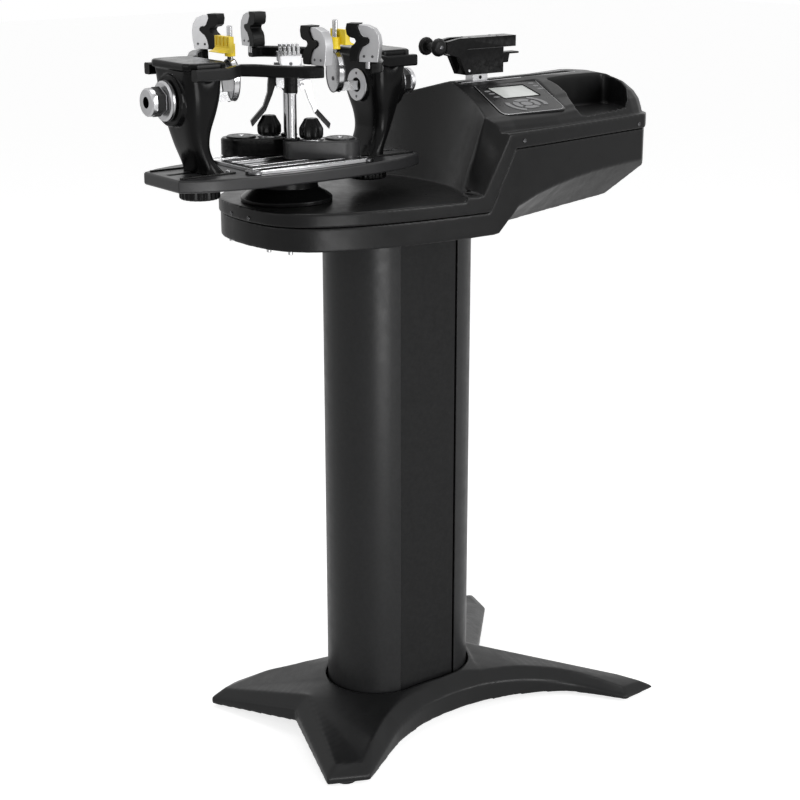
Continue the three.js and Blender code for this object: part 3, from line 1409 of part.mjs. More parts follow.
const clampPlaces = { near: [clamp.nearDisc, clamp.yaw], far: [clamp.farDisc, clamp.yaw + 180] };
for (const [name, [place, yaw]] of Object.entries(clampPlaces)) {
  const placed = (solid) =>
    solid.translate([-discAt, 0, 0]).rotate([0, 0, yaw]).translate([hub.at + place[0], place[1], 0]);
  addOnHead(`clamp_block_${name}`, placed(clampBlock), blackMetal);
  addOnHead(`clamp_knob_${name}`, placed(clampKnob), blackPlastic);
  addOnHead(`clamp_head_${name}`, placed(clampHead), bright);
  addOnHead(`clamp_lever_${name}`, placed(clampLever), satin);
}

// The part's frame: middle of the outer sizes along X, the floor at z = 0.
const frontmost = hub.at - adjuster.knobEnd;
group.position.x = -(frontmost + head.rearReach) / 2;
group.updateMatrixWorld(true);

export default group;
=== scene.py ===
"""How the racket stringing machine looks: its materials, small fittings, light and camera."""

import math

import bmesh
import bpy
import numpy as np
from mathutils import Matrix, Vector


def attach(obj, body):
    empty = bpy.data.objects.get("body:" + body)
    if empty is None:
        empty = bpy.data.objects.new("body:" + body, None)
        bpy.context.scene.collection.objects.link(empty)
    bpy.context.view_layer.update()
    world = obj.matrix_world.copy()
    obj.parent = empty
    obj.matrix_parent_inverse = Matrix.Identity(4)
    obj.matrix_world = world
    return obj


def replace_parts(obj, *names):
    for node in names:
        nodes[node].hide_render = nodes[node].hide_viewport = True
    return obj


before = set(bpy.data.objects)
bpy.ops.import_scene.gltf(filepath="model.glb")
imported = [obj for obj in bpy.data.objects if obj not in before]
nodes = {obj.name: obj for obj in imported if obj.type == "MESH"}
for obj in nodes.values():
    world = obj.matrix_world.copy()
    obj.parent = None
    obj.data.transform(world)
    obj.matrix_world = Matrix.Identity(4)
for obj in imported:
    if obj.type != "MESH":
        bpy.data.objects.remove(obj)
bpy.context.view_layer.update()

# Materials.

cloud_scale, wear_scale, smear_scale = 14.0, 160.0, 45.0
cloud_tone = 0.82  # brightness of a finish in its darker clouds
gloss_spread = 0.06  # how far the roughness strays to either side
edge_start, edge_full = 0.52, 0.6  # pointiness where wear begins, and where it is full


def node(tree, kind, **settings):
    """A shader node with its settings."""
    made = tree.nodes.new(kind)
    for key, value in settings.items():
        setattr(made, key, value)
    return made


def noise(tree, place, scale, detail, rough):
    made = node(tree, "ShaderNodeTexNoise")
    made.inputs["Scale"].default_value = scale
    made.inputs["Detail"].default_value = detail
    made.inputs["Roughness"].default_value = rough
    tree.links.new(place, made.inputs["Vector"])
    return made.outputs["Fac"]


def ramp(tree, value, low, high, start, end):
    """value between low and high becomes a number between start and end."""
    made = node(tree, "ShaderNodeMapRange")
    made.inputs["From Min"].default_value = low
    made.inputs["From Max"].default_value = high
    made.inputs["To Min"].default_value = start
    made.inputs["To Max"].default_value = end
    tree.links.new(value, made.inputs["Value"])
    return made.outputs["Result"]


def blend_colours(tree, share, *colours):
    """A mix of two colours, each given as a colour or as the socket that it comes from."""
    made = node(tree, "ShaderNodeMix", data_type="RGBA")
    for socket, colour in zip([s for s in made.inputs if s.type == "RGBA"], colours):
        if isinstance(colour, tuple):
            socket.default_value = (*colour, 1)
        else:
            tree.links.new(colour, socket)
    tree.links.new(share, made.inputs["Factor"])
    return [s for s in made.outputs if s.type == "RGBA"][0]


def material(name, colour, worn, rough, grain, grain_depth, specular=0.5, metal=0.0, brush=None,
             edge=0.5):
    """Colour with a faint cloudiness, paler worn edges, uneven gloss and a fine surface grain."""
    made = bpy.data.materials.new(name)
    made.use_nodes = True
    tree = made.node_tree
    shader = tree.nodes["Principled BSDF"]
    place = node(tree, "ShaderNodeTexCoord").outputs["Object"]
    cloud = noise(tree, place, cloud_scale, 6.0, 0.6)
    wear = noise(tree, place, wear_scale, 5.0, 0.65)
    point = node(tree, "ShaderNodeNewGeometry").outputs["Pointiness"]
    sharp = ramp(tree, point, edge_start, edge_full, 0.0, 1.0)
    rubbed = node(tree, "ShaderNodeMath", operation="MULTIPLY")
    tree.links.new(sharp, rubbed.inputs[0])
    tree.links.new(ramp(tree, wear, 0.35, 0.75, 0.0, edge), rubbed.inputs[1])
    dull = tuple(c * cloud_tone for c in colour)
    body = blend_colours(tree, ramp(tree, cloud, 0.3, 0.7, 0.0, 1.0), colour, dull)
    tree.links.new(blend_colours(tree, rubbed.outputs[0], body, worn), shader.inputs["Base Color"])
    smear = noise(tree, place, smear_scale, 5.0, 0.7)
    gloss = ramp(tree, smear, 0.3, 0.7, rough - gloss_spread, rough + gloss_spread)
    tree.links.new(gloss, shader.inputs["Roughness"])
    shader.inputs["Metallic"].default_value = metal
    shader.inputs["Specular IOR Level"].default_value = specular
    where = place
    if brush is not None:
        stretch = node(tree, "ShaderNodeMapping")
        stretch.inputs["Scale"].default_value = brush
        tree.links.new(place, stretch.inputs["Vector"])
        where = stretch.outputs["Vector"]
    height = noise(tree, where, grain, 3.0, 0.6)
    bump = node(tree, "ShaderNodeBump")
    bump.inputs["Strength"].default_value = 1.0
    bump.inputs["Distance"].default_value = grain_depth
    tree.links.new(height, bump.inputs["Height"])
    tree.links.new(bump.outputs["Normal"], shader.inputs["Normal"])
    return made


def grey(value):
    return (value, value, value)


# Base colour, colour of worn edges, roughness, scale and depth of the grain, and what else is set.
finishes = {name: material(name, *row, **others) for name, *row, others in (
    ("base_paint", (0.0085, 0.0087, 0.0090), grey(0.03), 0.36, 900.0, 0.00006,
     {"specular": 0.22}),
    ("column_paint", (0.0105, 0.0107, 0.0112), grey(0.04), 0.36, 1500.0, 0.00004,
     {"specular": 0.22}),
    ("column_side", (0.0062, 0.0063, 0.0066), grey(0.03), 0.34, 1500.0, 0.00004,
     {"specular": 0.15}),
    ("shell_plastic", (0.0072, 0.0072, 0.0074), grey(0.03), 0.33, 700.0, 0.00009,
     {"specular": 0.16}),
    ("black_metal", (0.0040, 0.0040, 0.0042), grey(0.06), 0.22, 1800.0, 0.00002,
     {"specular": 0.10}),
    ("machined_side", (0.020, 0.020, 0.021), grey(0.08), 0.34, 1400.0, 0.00002,
     {"specular": 0.30}),
    ("black_plastic", (0.0042, 0.0042, 0.0044), grey(0.03), 0.28, 1200.0, 0.00004,
     {"specular": 0.12}),
    ("rubber", (0.0045, 0.0045, 0.0046), grey(0.02), 0.42, 1500.0, 0.00006,
     {"specular": 0.14}),
    ("bright_steel", (0.55, 0.55, 0.56), grey(0.7), 0.16, 500.0, 0.00002,
     {"metal": 1.0, "brush": (1.0, 14.0, 1.0), "edge": 0.3}),
    ("satin_aluminium", (0.50, 0.50, 0.51), grey(0.65), 0.32, 1400.0, 0.00002,
     {"metal": 1.0, "edge": 0.3}),
    ("dark_steel", (0.10, 0.10, 0.104), grey(0.4), 0.28, 1400.0, 0.00002,
     {"metal": 1.0, "edge": 0.4}),
    ("yellow_plastic", (0.95, 0.70, 0.015), (0.95, 0.78, 0.2), 0.34, 900.0, 0.00003,
     {"specular": 0.35}),
    ("screen_glass", (0.62, 0.64, 0.62), grey(0.5), 0.16, 3000.0, 0.00001,
     {"specular": 0.4}),
    ("key_grey", (0.18, 0.18, 0.185), grey(0.3), 0.42, 1500.0, 0.00003,
     {"specular": 0.3}),
    ("panel_film", (0.0085, 0.0085, 0.0088), grey(0.04), 0.30, 1600.0, 0.00003,
     {"specular": 0.2}),
)}

# Finishes that the record has no slot for, with the slot that each belongs to, and the solids
# whose finish isn't the one named by their slot.
own_finish = {"column_mast": "column_side", "turntable_beam": "machined_side",
              "clamp_lever_far": "black_metal", "clamp_block_near": "machined_side"}

# How far the edges of the solids are rounded, by slot.
rounding = {"base_paint": 0.0022, "column_paint": 0.0010, "shell_plastic": 0.0030,
            "black_metal": 0.0012, "black_plastic": 0.0009, "rubber": 0.0009,
            "bright_steel": 0.0006, "satin_aluminium": 0.0006, "yellow_plastic": 0.0006,
            "screen_glass": 0.0003, "key_grey": 0.0005, "panel_film": 0.0005}
weld_distance = 0.00001
same_plane = math.radians(0.4)  # faces that differ by less become one
solid_edge = math.radians(28)  # edges sharper than this are rounded


def join_up():
    """A modifier's node group that joins a solid's faces and shades them smooth all over."""
    made = bpy.data.node_groups.new("join_up", "GeometryNodeTree")
    for way in ("INPUT", "OUTPUT"):
        made.interface.new_socket("Geometry", in_out=way, socket_type="NodeSocketGeometry")
    start = made.nodes.new("NodeGroupInput")
    end = made.nodes.new("NodeGroupOutput")
    merge = made.nodes.new("GeometryNodeMergeByDistance")
    merge.inputs["Distance"].default_value = weld_distance
    forget = made.nodes.new("GeometryNodeRemoveAttribute")
    forget.inputs["Name"].default_value = "custom_normal"
    chain = [start, merge, forget]
    for domain in ("FACE", "EDGE"):
        smooth = made.nodes.new("GeometryNodeSetShadeSmooth")
        smooth.domain = domain
        smooth.inputs["Shade Smooth"].default_value = True
        chain.append(smooth)
    chain.append(end)
    for before, after in zip(chain, chain[1:]):
        made.links.new(before.outputs["Geometry"], after.inputs["Geometry"])
    return made


joined = join_up()


def soften(thing, width):
    """Joins a solid's faces and rounds its edges, as a moulded or machined part has them."""
    thing.modifiers.new("join", "NODES").node_group = joined
    flat = thing.modifiers.new("flat", "DECIMATE")
    flat.decimate_type = "DISSOLVE"
    flat.angle_limit = same_plane
    bevel = thing.modifiers.new("round", "BEVEL")
    bevel.limit_method = "ANGLE"
    bevel.angle_limit = solid_edge
    bevel.width = width
    bevel.segments = 3
    bevel.use_clamp_overlap = True
    thing.modifiers.new("even", "WEIGHTED_NORMAL").keep_sharp = False


# Skins and fittings are drawn in the solids' own millimetres. The frame's X is `shift` more, and
# the turntable's axis stands at hub_x. A side is -1 or 1 for near or far, an end for front or rear.
shift = 5.5
hub_x = -203.0
axis_height = 1028  # of the knobs on the posts
side_name = {-1: "near", 1: "far"}
ends = {"rear": 1, "front": -1}
up = (0, 0, 1)


def mm(x, y, z):
    """A place in the solids' own millimetres, in the frame's metres."""
    return Vector(((x + shift) / 1000, y / 1000, z / 1000))


def curved(points, outline, bends, hold, fade):
    """Moves points near a cornered outline as if it ran in smooth curves there.

    The outline is given for the near side. The corners with a bend are the smooth ones. Points
    up to `hold` from the outline move fully, and then less and less over `fade`.
    """
    flat = np.stack([points[:, 0], -np.abs(points[:, 1])], axis=1)
    corners = np.array(outline, dtype=float)
    best = np.full(len(flat), np.inf)
    move = np.zeros_like(flat)
    for i in range(1, len(corners) - 1):
        start, end = corners[i], corners[i + 1]
        along = end - start
        length = np.hypot(*along)
        share = np.clip((flat - start) @ along / length ** 2, 0, 1)
        straight = start + share[:, None] * along
        far = np.hypot(*(flat - straight).T)
        tangents = []
        for k in (i, i + 1):
            smooth = bends[k] and k + 1 < len(corners)
            way = corners[k + 1] - corners[k - 1] if smooth else along
            tangents.append(way / np.hypot(*way) * length)
        t = share[:, None]
        bow = ((2 * t ** 3 - 3 * t ** 2 + 1) * start + (t ** 3 - 2 * t ** 2 + t) * tangents[0]
               + (3 * t ** 2 - 2 * t ** 3) * end + (t ** 3 - t ** 2) * tangents[1])
        weight = np.clip(1 - (far - hold) / fade, 0, 1)
        nearer = far < best
        best[nearer] = far[nearer]
        move[nearer] = ((bow - straight) * weight[:, None])[nearer]
    points[:, 0] += move[:, 0]
    points[:, 1] += np.where(points[:, 1] > 0, -move[:, 1], move[:, 1])


def dense(name, voxel):
    """A fine, even mesh of one solid, and its points in the solid's own millimetres."""
    copy = bpy.data.objects.new(name + "_skin", nodes[name].data.copy())
    bpy.context.scene.collection.objects.link(copy)
    copy.modifiers.new("join", "NODES").node_group = joined
    skin = copy.modifiers.new("skin", "REMESH")
    skin.mode = "VOXEL"
    skin.voxel_size = voxel
    graph = bpy.context.evaluated_depsgraph_get()
    mesh = bpy.data.meshes.new_from_object(copy.evaluated_get(graph))
    copy.modifiers.clear()
    copy.data = mesh
    flat = np.empty(len(mesh.vertices) * 3)
    mesh.vertices.foreach_get("co", flat)
    return copy, flat.reshape(-1, 3) * 1000 - (shift, 0, 0)


def dress(copy, points, name, finish, rounds, body="stand"):
    """Puts the moved points back and lets the skin stand for its solid."""
    mesh = copy.data
    mesh.vertices.foreach_set("co", ((points + (shift, 0, 0)) / 1000).ravel())
    mesh.update()
    mesh.materials.clear()
    mesh.materials.append(finishes[finish])
    mesh.polygons.foreach_set("use_smooth", [True] * len(mesh.polygons))
    smooth = copy.modifiers.new("smooth", "SMOOTH")
    smooth.factor = 0.5
    smooth.iterations = rounds
    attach(copy, body)
    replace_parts(copy, name)


def even_out(mesh, points, axis, chosen, rounds):
    """Evens out one coordinate of the chosen points, the others holding still."""
    edges = np.empty(len(mesh.edges) * 2, dtype=np.int64)
    mesh.edges.foreach_get("vertices", edges)
    first, second = edges.reshape(-1, 2).T
    values = points[:, axis].copy()
    count = len(values)
    links = np.bincount(first, minlength=count) + np.bincount(second, minlength=count)
    for _ in range(rounds):
        total = np.bincount(first, weights=values[second], minlength=count)
        total += np.bincount(second, weights=values[first], minlength=count)
        values[chosen] = (total / np.maximum(links, 1))[chosen]
    points[:, axis] = values


def facing_of(mesh):
    flat = np.empty(len(mesh.vertices) * 3)
    mesh.vertices.foreach_get("normal", flat)
    return flat.reshape(-1, 3)


# Base casting: curves between its legs, and one even surface from the column down to the tips.
base_line = [(-262, 168), (-206, 0), (-262, -168), (-201, -195), (-150, -166), (-100, -139),
             (-40, -120), (25, -113), (95, -117), (165, -133), (237, -168), (296, -243),
             (362, -238), (343, -178), (175, 0)]
base_bends = [False] * 4 + [True] * 7 + [False] * 4
foot_height = 14  # the tops of the legs lie over this
casting, places = dense("base_casting", 0.0024)
upward = (facing_of(casting.data)[:, 2] > 0.93) & (places[:, 2] > foot_height)
even_out(casting.data, places, 2, upward, 260)
curved(places, base_line, base_bends, 30, 45)
dress(casting, places, "base_casting", "base_paint", 9)

# Head shells: the nose's curve, the round hollow wall and the twisted corner strips.
nose_reach, half_width = 285, 176
nose = [(-1, 0), (-0.993, 0.17), (-0.972, 0.352), (-0.926, 0.511), (-0.853, 0.636),
        (-0.747, 0.739), (-0.596, 0.83), (-0.386, 0.909), (-0.14, 0.966), (0.07, 0.994)]
head_line = [(nose_reach * a, -half_width * b) for a, b in nose]
head_line += [(100, -half_width), (393, -134), (411, -119), (417, -95)]
head_line = [(head_line[1][0], -head_line[1][1])] + head_line
head_bends = [True] * 12 + [False] * 3
deck_top = 871
wall_radius, wall_lean, wall_rise = 262, 42, 153  # at the deck, growing over the wall's height
wall_flats = 64  # in a full turn


def rounded_wall(points):
    """The hollow wall round the turntable, a cone that has flats in the solid."""
    side = math.pi / wall_flats
    dx, dy = points[:, 0] - hub_x, points[:, 1]
    reach, angle = np.hypot(dx, dy), np.arctan2(dy, dx)
    true = wall_radius + wall_lean * (points[:, 2] - deck_top) / wall_rise
    flat = true * math.cos(side) / np.cos(np.mod(angle, 2 * side) - side)
    on_wall = (np.abs(reach - flat) < 1.2) & (points[:, 2] > deck_top + 1) & (dx > 0)
    grown = np.where(on_wall, true / flat, 1.0)
    points[:, 0] = hub_x + dx * grown
    points[:, 1] = dy * grown


def untwisted(points):
    """The corner strips: one evenly twisted surface where the solid has two flat triangles."""
    rim_low, rim_top = np.array((25, 173.5, 877.0)), np.array((72, 173.5, 963.0))
    crease_low, crease_top = np.array((33, 124.5, 877.0)), np.array((54, 140.5, 978.0))
    zone_low, zone_top = (10, 115, 872), (85, half_width, 985)
    most_moved = 9
    place = np.stack([points[:, 0], np.abs(points[:, 1]), points[:, 2]], axis=1)
    index = np.where(((place > zone_low) & (place < zone_top)).all(axis=1))[0]
    y, z = place[index, 1], place[index, 2]
    across, climb = np.full(len(index), 0.5), np.full(len(index), 0.5)
    for _ in range(12):  # Newton steps towards the shares at which the surface has this y and z
        low = crease_low + across[:, None] * (rim_low - crease_low)
        top = crease_top + across[:, None] * (rim_top - crease_top)
        here = low + climb[:, None] * (top - low)
        d_across = (1 - climb)[:, None] * (rim_low - crease_low) \
            + climb[:, None] * (rim_top - crease_top)
        d_climb = top - low
        det = d_across[:, 1] * d_climb[:, 2] - d_across[:, 2] * d_climb[:, 1]
        ey, ez = y - here[:, 1], z - here[:, 2]
        across = across + (ey * d_climb[:, 2] - ez * d_climb[:, 1]) / det
        climb = climb + (ez * d_across[:, 1] - ey * d_across[:, 2]) / det
    ruled = (crease_low + across[:, None] * (rim_low - crease_low)) * (1 - climb)[:, None] \
        + (crease_top + across[:, None] * (rim_top - crease_top)) * climb[:, None]
    away = ruled[:, 0] - place[index, 0]
    near = (across > 0) & (across < 1) & (climb > 0) & (climb < 1) & (np.abs(away) < most_moved)
    points[index[near], 0] += away[near]


for name in ("upper_shell", "lower_shell"):
    shell, places = dense(name, 0.0019)
    if name == "lower_shell":
        facing = facing_of(shell.data)
        arch = (places[:, 0] > 58) & (places[:, 2] < 890)
        arch &= (facing[:, 2] < -0.25) & (np.abs(facing[:, 1]) > 0.35)
        even_out(shell.data, places, 1, arch, 240)
    curved(places, head_line, head_bends, 20, 25)
    if name == "upper_shell":
        rounded_wall(places)
        untwisted(places)
    dress(shell, places, name, "shell_plastic", 7)

# Cast posts: their sides run into each other, while cap, boss and flange keep their edges.
for end, way in ends.items():
    cast, places = dense(f"post_{end}", 0.0012)
    along = (places[:, 0] - hub_x) * way
    off_axis = np.hypot(places[:, 1], places[:, 2] - axis_height)
    boss = (along > 172) & (off_axis < 38.5)
    flange = (along < 150) & (off_axis < 27)
    side_wall = (places[:, 2] < 1066) & (places[:, 2] > 928) & ~(boss | flange)
    for axis in range(3):
        even_out(cast.data, places, axis, side_wall, 90)
    dress(cast, places, f"post_{end}", "black_metal", 4, f"post_slide_body_{end}")

skinned = ("base_casting", "upper_shell", "lower_shell", "post_front", "post_rear")
for name, thing in nodes.items():
    slot = thing.material_slots[0].material.name
    thing.material_slots[0].material = finishes[own_finish.get(name, slot)]
    if name not in skinned:
        soften(thing, rounding[slot])

# Small fittings.


def placed(name, data, body):
    """Puts a piece into the scene, on the body that it rides."""
    thing = bpy.data.objects.new(name, data)
    bpy.context.scene.collection.objects.link(thing)
    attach(thing, body)
    return thing


def fitting(name, body, finish, made, width=0.25, angle=30):
    """Turns a bmesh drawn in millimetres into a piece, with its edges rounded by `width`."""
    bmesh.ops.remove_doubles(made, verts=made.verts, dist=0.001)
    bmesh.ops.recalc_face_normals(made, faces=made.faces)
    for vert in made.verts:
        vert.co = mm(*vert.co)
    mesh = bpy.data.meshes.new(name)
    made.to_mesh(mesh)
    made.free()
    mesh.materials.append(finishes[finish])
    mesh.polygons.foreach_set("use_smooth", [True] * len(mesh.polygons))
    thing = placed(name, mesh, body)
    bevel = thing.modifiers.new("round", "BEVEL")
    bevel.limit_method = "ANGLE"
    bevel.angle_limit = math.radians(angle)
    bevel.width = width / 1000
    bevel.segments = 2
    thing.modifiers.new("even", "WEIGHTED_NORMAL")
    return thing


def turned(centre, way, profile, steps=28, lobes=0, lobe_depth=0.0):
    """A profile of (radius, height) pairs turned about the line through centre along way."""
    made = bmesh.new()
    spin = Vector(way).to_track_quat("Z", "Y").to_matrix()
    rings = []
    for radius, height in profile:
        if radius == 0:
            rings.append([made.verts.new(Vector(centre) + spin @ Vector((0, 0, height)))])
            continue
        ring = []
        for i in range(steps):
            angle = 2 * math.pi * i / steps
            reach = radius * (1 - lobe_depth * (1 + math.cos(lobes * angle)) / 2)
            spot = Vector((reach * math.cos(angle), reach * math.sin(angle), height))
            ring.append(made.verts.new(Vector(centre) + spin @ spot))
        rings.append(ring)
    for low, high in zip(rings, rings[1:]):
        for i in range(steps):
            j = (i + 1) % steps
            if len(low) == 1:
                made.faces.new((low[0], high[i], high[j]))
            elif len(high) == 1:
                made.faces.new((low[i], low[j], high[0]))
            else:
                made.faces.new((low[i], low[j], high[j], high[i]))
    return made


def carried(outline, run):
    """A flat outline, given as points, carried along a run."""
    made = bmesh.new()
    low = [made.verts.new(Vector(point)) for point in outline]
    high = [made.verts.new(Vector(point) + Vector(run)) for point in outline]
    made.faces.new(low)
    made.faces.new(list(reversed(high)))
    for i in range(len(low)):
        j = (i + 1) % len(low)
        made.faces.new((low[i], low[j], high[j], high[i]))
    return made


def screw(name, body, finish, centre, way, radius, height):
    """A domed screw head with a round-bottomed socket."""
    profile = [(radius, -height * 0.4), (radius, height * 0.45), (radius * 0.8, height * 0.9),
               (radius * 0.55, height), (radius * 0.5, height * 0.96),
               (radius * 0.42, height * 0.1), (0, 0)]
    fitting(name, body, finish, turned(centre, way, profile, 24), 0.08)


def wire(name, body, finish, points, radius, closed=False):
    """A thin trim along points in millimetres."""
    data = bpy.data.curves.new(name, "CURVE")
    data.dimensions = "3D"
    data.bevel_depth = radius / 1000
    data.bevel_resolution = 2
    data.use_fill_caps = True
    line = data.splines.new("POLY")
    line.points.add(len(points) - 1)
    for spot, point in zip(line.points, points):
        spot.co = (*mm(*point), 1)
    line.use_cyclic_u = closed
    data.materials.append(finishes[finish])
    placed(name, data, body)


def filleted(points, radius, steps=5):
    """The points of a line with each inner corner rounded."""
    made = [Vector(points[0])]
    for trio in zip(points, points[1:], points[2:]):
        before, corner, after = map(Vector, trio)
        start, end = (corner + (other - corner).normalized()
                      * min(radius, (other - corner).length / 2) for other in (before, after))
        for i in range(steps + 1):
            t = i / steps
            made.append(start * (1 - t) ** 2 + corner * 2 * t * (1 - t) + end * t ** 2)
    made.append(Vector(points[-1]))
    return made


# Shell screws and the studs under the nose.
head_underside = 815
for label, x, y, z, way_x, way_y in (("nose", -284.0, 22.7, 856.3, -1, 0.07),
                                     ("side", 101.6, 176.0, 949.9, 0.14, 0.99),
                                     ("rear", 378.0, 136.6, 947.1, 0.14, 0.99)):
    for side in (-1, 1):
        screw(f"shell_screw_{label}_{side_name[side]}", "stand", "dark_steel", (x, side * y, z),
              (way_x, side * way_y, 0), 3.2, 1.2)
stud_profile = [(4.2, -1.0), (4.2, 1.2), (3.4, 1.6), (3.4, 4.6), (2.8, 5.2), (0, 5.2)]
for side in (-1, 1):
    for label, x, y in (("front", -268.0, 50.0), ("rear", -254.0, 84.0)):
        stud = turned((x, side * y, head_underside), (0, 0, -1), stud_profile, 20)
        fitting(f"nose_stud_{label}_{side_name[side]}", "stand", "satin_aluminium", stud, 0.15)

# Control panel: silver line round the film, frame of the screen and six oval keys on the film.
film_x, film_y, film_z = 188.5, -30, 1014.5  # middle of the film's far edge
tilt = math.atan2(30.5, 109)
film_run, film_length = 34, 113.2  # the film is a parallelogram: its near edge is shifted by this
film_half, film_far, film_near = 62.3, -0.4, -111.8
screen_v, screen_half_u, screen_half_v = -32.5, 37.2, 22.7


def on_panel(u, v, w):
    """A place on the tilted film: u along it, v up from its far edge, w out of it."""
    return (film_x + u, film_y + v * math.cos(tilt) - w * math.sin(tilt),
            film_z + v * math.sin(tilt) + w * math.cos(tilt))


def leaned(v):
    """How far along the film its middle lies at v."""
    return film_run * v / film_length


edge_line = [on_panel(u + leaned(v), v, 0.1) for u, v in
             ((-film_half, film_far), (-film_half, film_near), (film_half, film_near),
              (film_half, film_far))]
wire("panel_edge_line", "stand", "satin_aluminium", filleted(edge_line, 14.0, 8), 0.42)
frame_line = [on_panel(leaned(screen_v) + a * screen_half_u, screen_v + b * screen_half_v, 0.05)
              for a, b in ((0, -1), (1, -1), (1, 1), (-1, 1), (-1, -1), (0, -1))]
wire("screen_frame", "stand", "black_plastic", filleted(frame_line, 3.0), 0.8)
oval_keys = ((-55.3, -23.5), (-55.3, -34.0), (-56.0, -46.8), (45.7, -8.4), (46.5, -19.4),
             (45.9, -31.4))
for i, (u, v) in enumerate(oval_keys):
    key = turned((0, 0, 0), up, [(3.4, -0.2), (3.2, 0.35), (2.2, 0.55), (0, 0.6)], 24)
    for vert in key.verts:
        x, y, z = vert.co
        vert.co = on_panel(u + x * 1.75, v + y * 0.8, z)
    fitting(f"oval_key_{i + 1}", "stand", "key_grey", key, 0.1)

# Lips along the slot of the pulling unit, and its wiper strips.
slot_start, slot_end, slot_rise = 113, 351, 2.0
lip_y, wiper_y, wiper_tip = 13.6, 13.2, 9.8
for side in (-1, 1):
    wire(f"slot_lip_{side_name[side]}", "stand", "satin_aluminium",
         [(x, side * lip_y, z) for x, z in
          ((slot_start, 1018.6), (188, 1018.9), (slot_end, 1020.8))], 0.7)
    outline = [(slot_start, side * y, z) for y, z in
               ((wiper_y, 1014.5), (wiper_y, 1017.5), (wiper_tip, 1016.9), (wiper_tip, 1014.9))]
    fitting(f"slot_wiper_{side_name[side]}", "stand", "rubber",
            carried(outline, (slot_end - slot_start, 0, slot_rise)), 0.2)

# Gripper: pins, top screws, the screw in the carriage's neck, axle ends and the plates' joint.
for side in (-1, 1):
    screw(f"gripper_pin_{side_name[side]}", "carriage", "bright_steel", (128, side * 15, 1036),
          (0, side, 0), 2.4, 1.0)
for i, (x, y) in enumerate(((132, -9), (132, 9), (188, -9), (188, 9))):
    screw(f"gripper_screw_{i + 1}", "carriage", "dark_steel", (x, y, 1086), up, 2.2, 0.7)
screw("neck_screw", "carriage", "black_metal", (155, -9, 1024.6), (0, -1, 0), 2.9, 0.6)
for side in (-1, 1):
    cap = turned((67, side * 21.4, 1075), (0, side, 0),
                 [(3.4, 0), (3.4, 1.2), (2.4, 1.9), (0, 2.1)], 20)
    fitting(f"axle_end_{side_name[side]}", "spool", "dark_steel", cap, 0.1)
joint_outline = [(x, -15.25, z) for x, z in
                 ((124, 1068.6), (196.5, 1068.6), (196.5, 1069.4), (124, 1069.4))]
fitting("gripper_joint", "carriage", "machined_side", carried(joint_outline, (0, 30.5, 0)), 0.1)

# Posts, their knobs and the centre supports. r is the distance from the turntable's axis.


def on_end(end, r, y, z):
    return (hub_x + r * ends[end], y * ends[end], z)


hexagon = [(math.sin(math.pi * i / 3), math.cos(math.pi * i / 3)) for i in range(6)]
for end, way in ends.items():
    post, support = f"post_slide_body_{end}", f"centre_bar_body_{end}"
    knob = f"centre_adjuster_body_{end}"
    out, inwards = (way, 0, 0), (-way, 0, 0)
    axis = on_end(end, 0, 0, axis_height)
    rim = turned(axis, out, [(30.6, 190.7), (31.2, 191.9), (34.2, 191.9), (35.1, 190.7),
                             (30.6, 190.7)], 64)
    fitting(f"boss_rim_{end}", post, "black_metal", rim, 0.2)
    screw(f"boss_screw_{end}", post, "dark_steel", on_end(end, 186.9, 8.2, 1062.6),
          (way, 0, 0.1), 2.3, 0.8)
    disc = turned(axis, out, [(10.6, 128.2), (10.6, 126.8), (22.6, 126.8), (23.6, 127.6),
                              (23.6, 128.2), (10.6, 128.2)], 56)
    fitting(f"bar_flange_{end}", post, "satin_aluminium", disc, 0.2)
    for label, z in (("upper", 1045), ("lower", 1011)):
        screw(f"flange_screw_{end}_{label}", post, "dark_steel", on_end(end, 126.8, 0, z),
              inwards, 2.0, 0.6)
    sleeve = bmesh.new()
    rings = [[sleeve.verts.new(on_end(end, r, a * size, axis_height + b * size))
              for a, b in hexagon]
             for size, r in ((19.6, 203.2), (20.5, 203.8), (20.5, 215.4), (19.6, 216.0))]
    for low, high in zip(rings, rings[1:]):
        for i in range(6):
            j = (i + 1) % 6
            sleeve.faces.new((low[i], low[j], high[j], high[i]))
    fitting(f"grip_sleeve_{end}", knob, "black_plastic", sleeve, 0.3)
    bore = turned(axis, out, [(7.9, 225.0), (7.7, 225.0), (7.4, 215.0), (0, 214.6)], 36)
    fitting(f"knob_bore_{end}", knob, "black_metal", bore, 0.05)
    for k, r in enumerate((84.8, 94.2)):
        ring = [on_end(end, r, 17.0 * math.cos(math.pi * i / 24),
                       1049 + 29.0 * math.sin(math.pi * i / 24)) for i in range(48)]
        wire(f"disc_rim_{end}_{k + 1}", support, "dark_steel", ring, 0.75, closed=True)
    screw(f"disc_screw_{end}", support, "dark_steel", on_end(end, 85, 0, 1040), inwards, 3.2, 0.9)
    pin = turned(on_end(end, 89.5, 0, 1121.2), up,
                 [(4.15, 0), (4.15, 1.2), (3.2, 2.4), (1.6, 3.0), (0, 3.15)])
    fitting(f"pin_cap_{end}", support, "bright_steel", pin, 0.1)
    for r in (194.2, 197.8):
        groove = turned(axis, out, [(27.9, r - 0.5), (28.12, r - 0.4), (28.12, r + 0.4),
                                    (27.9, r + 0.5)], 64)
        fitting(f"ring_groove_{end}_{int(r)}", f"side_adjuster_body_{end}", "dark_steel", groove,
                0.05)

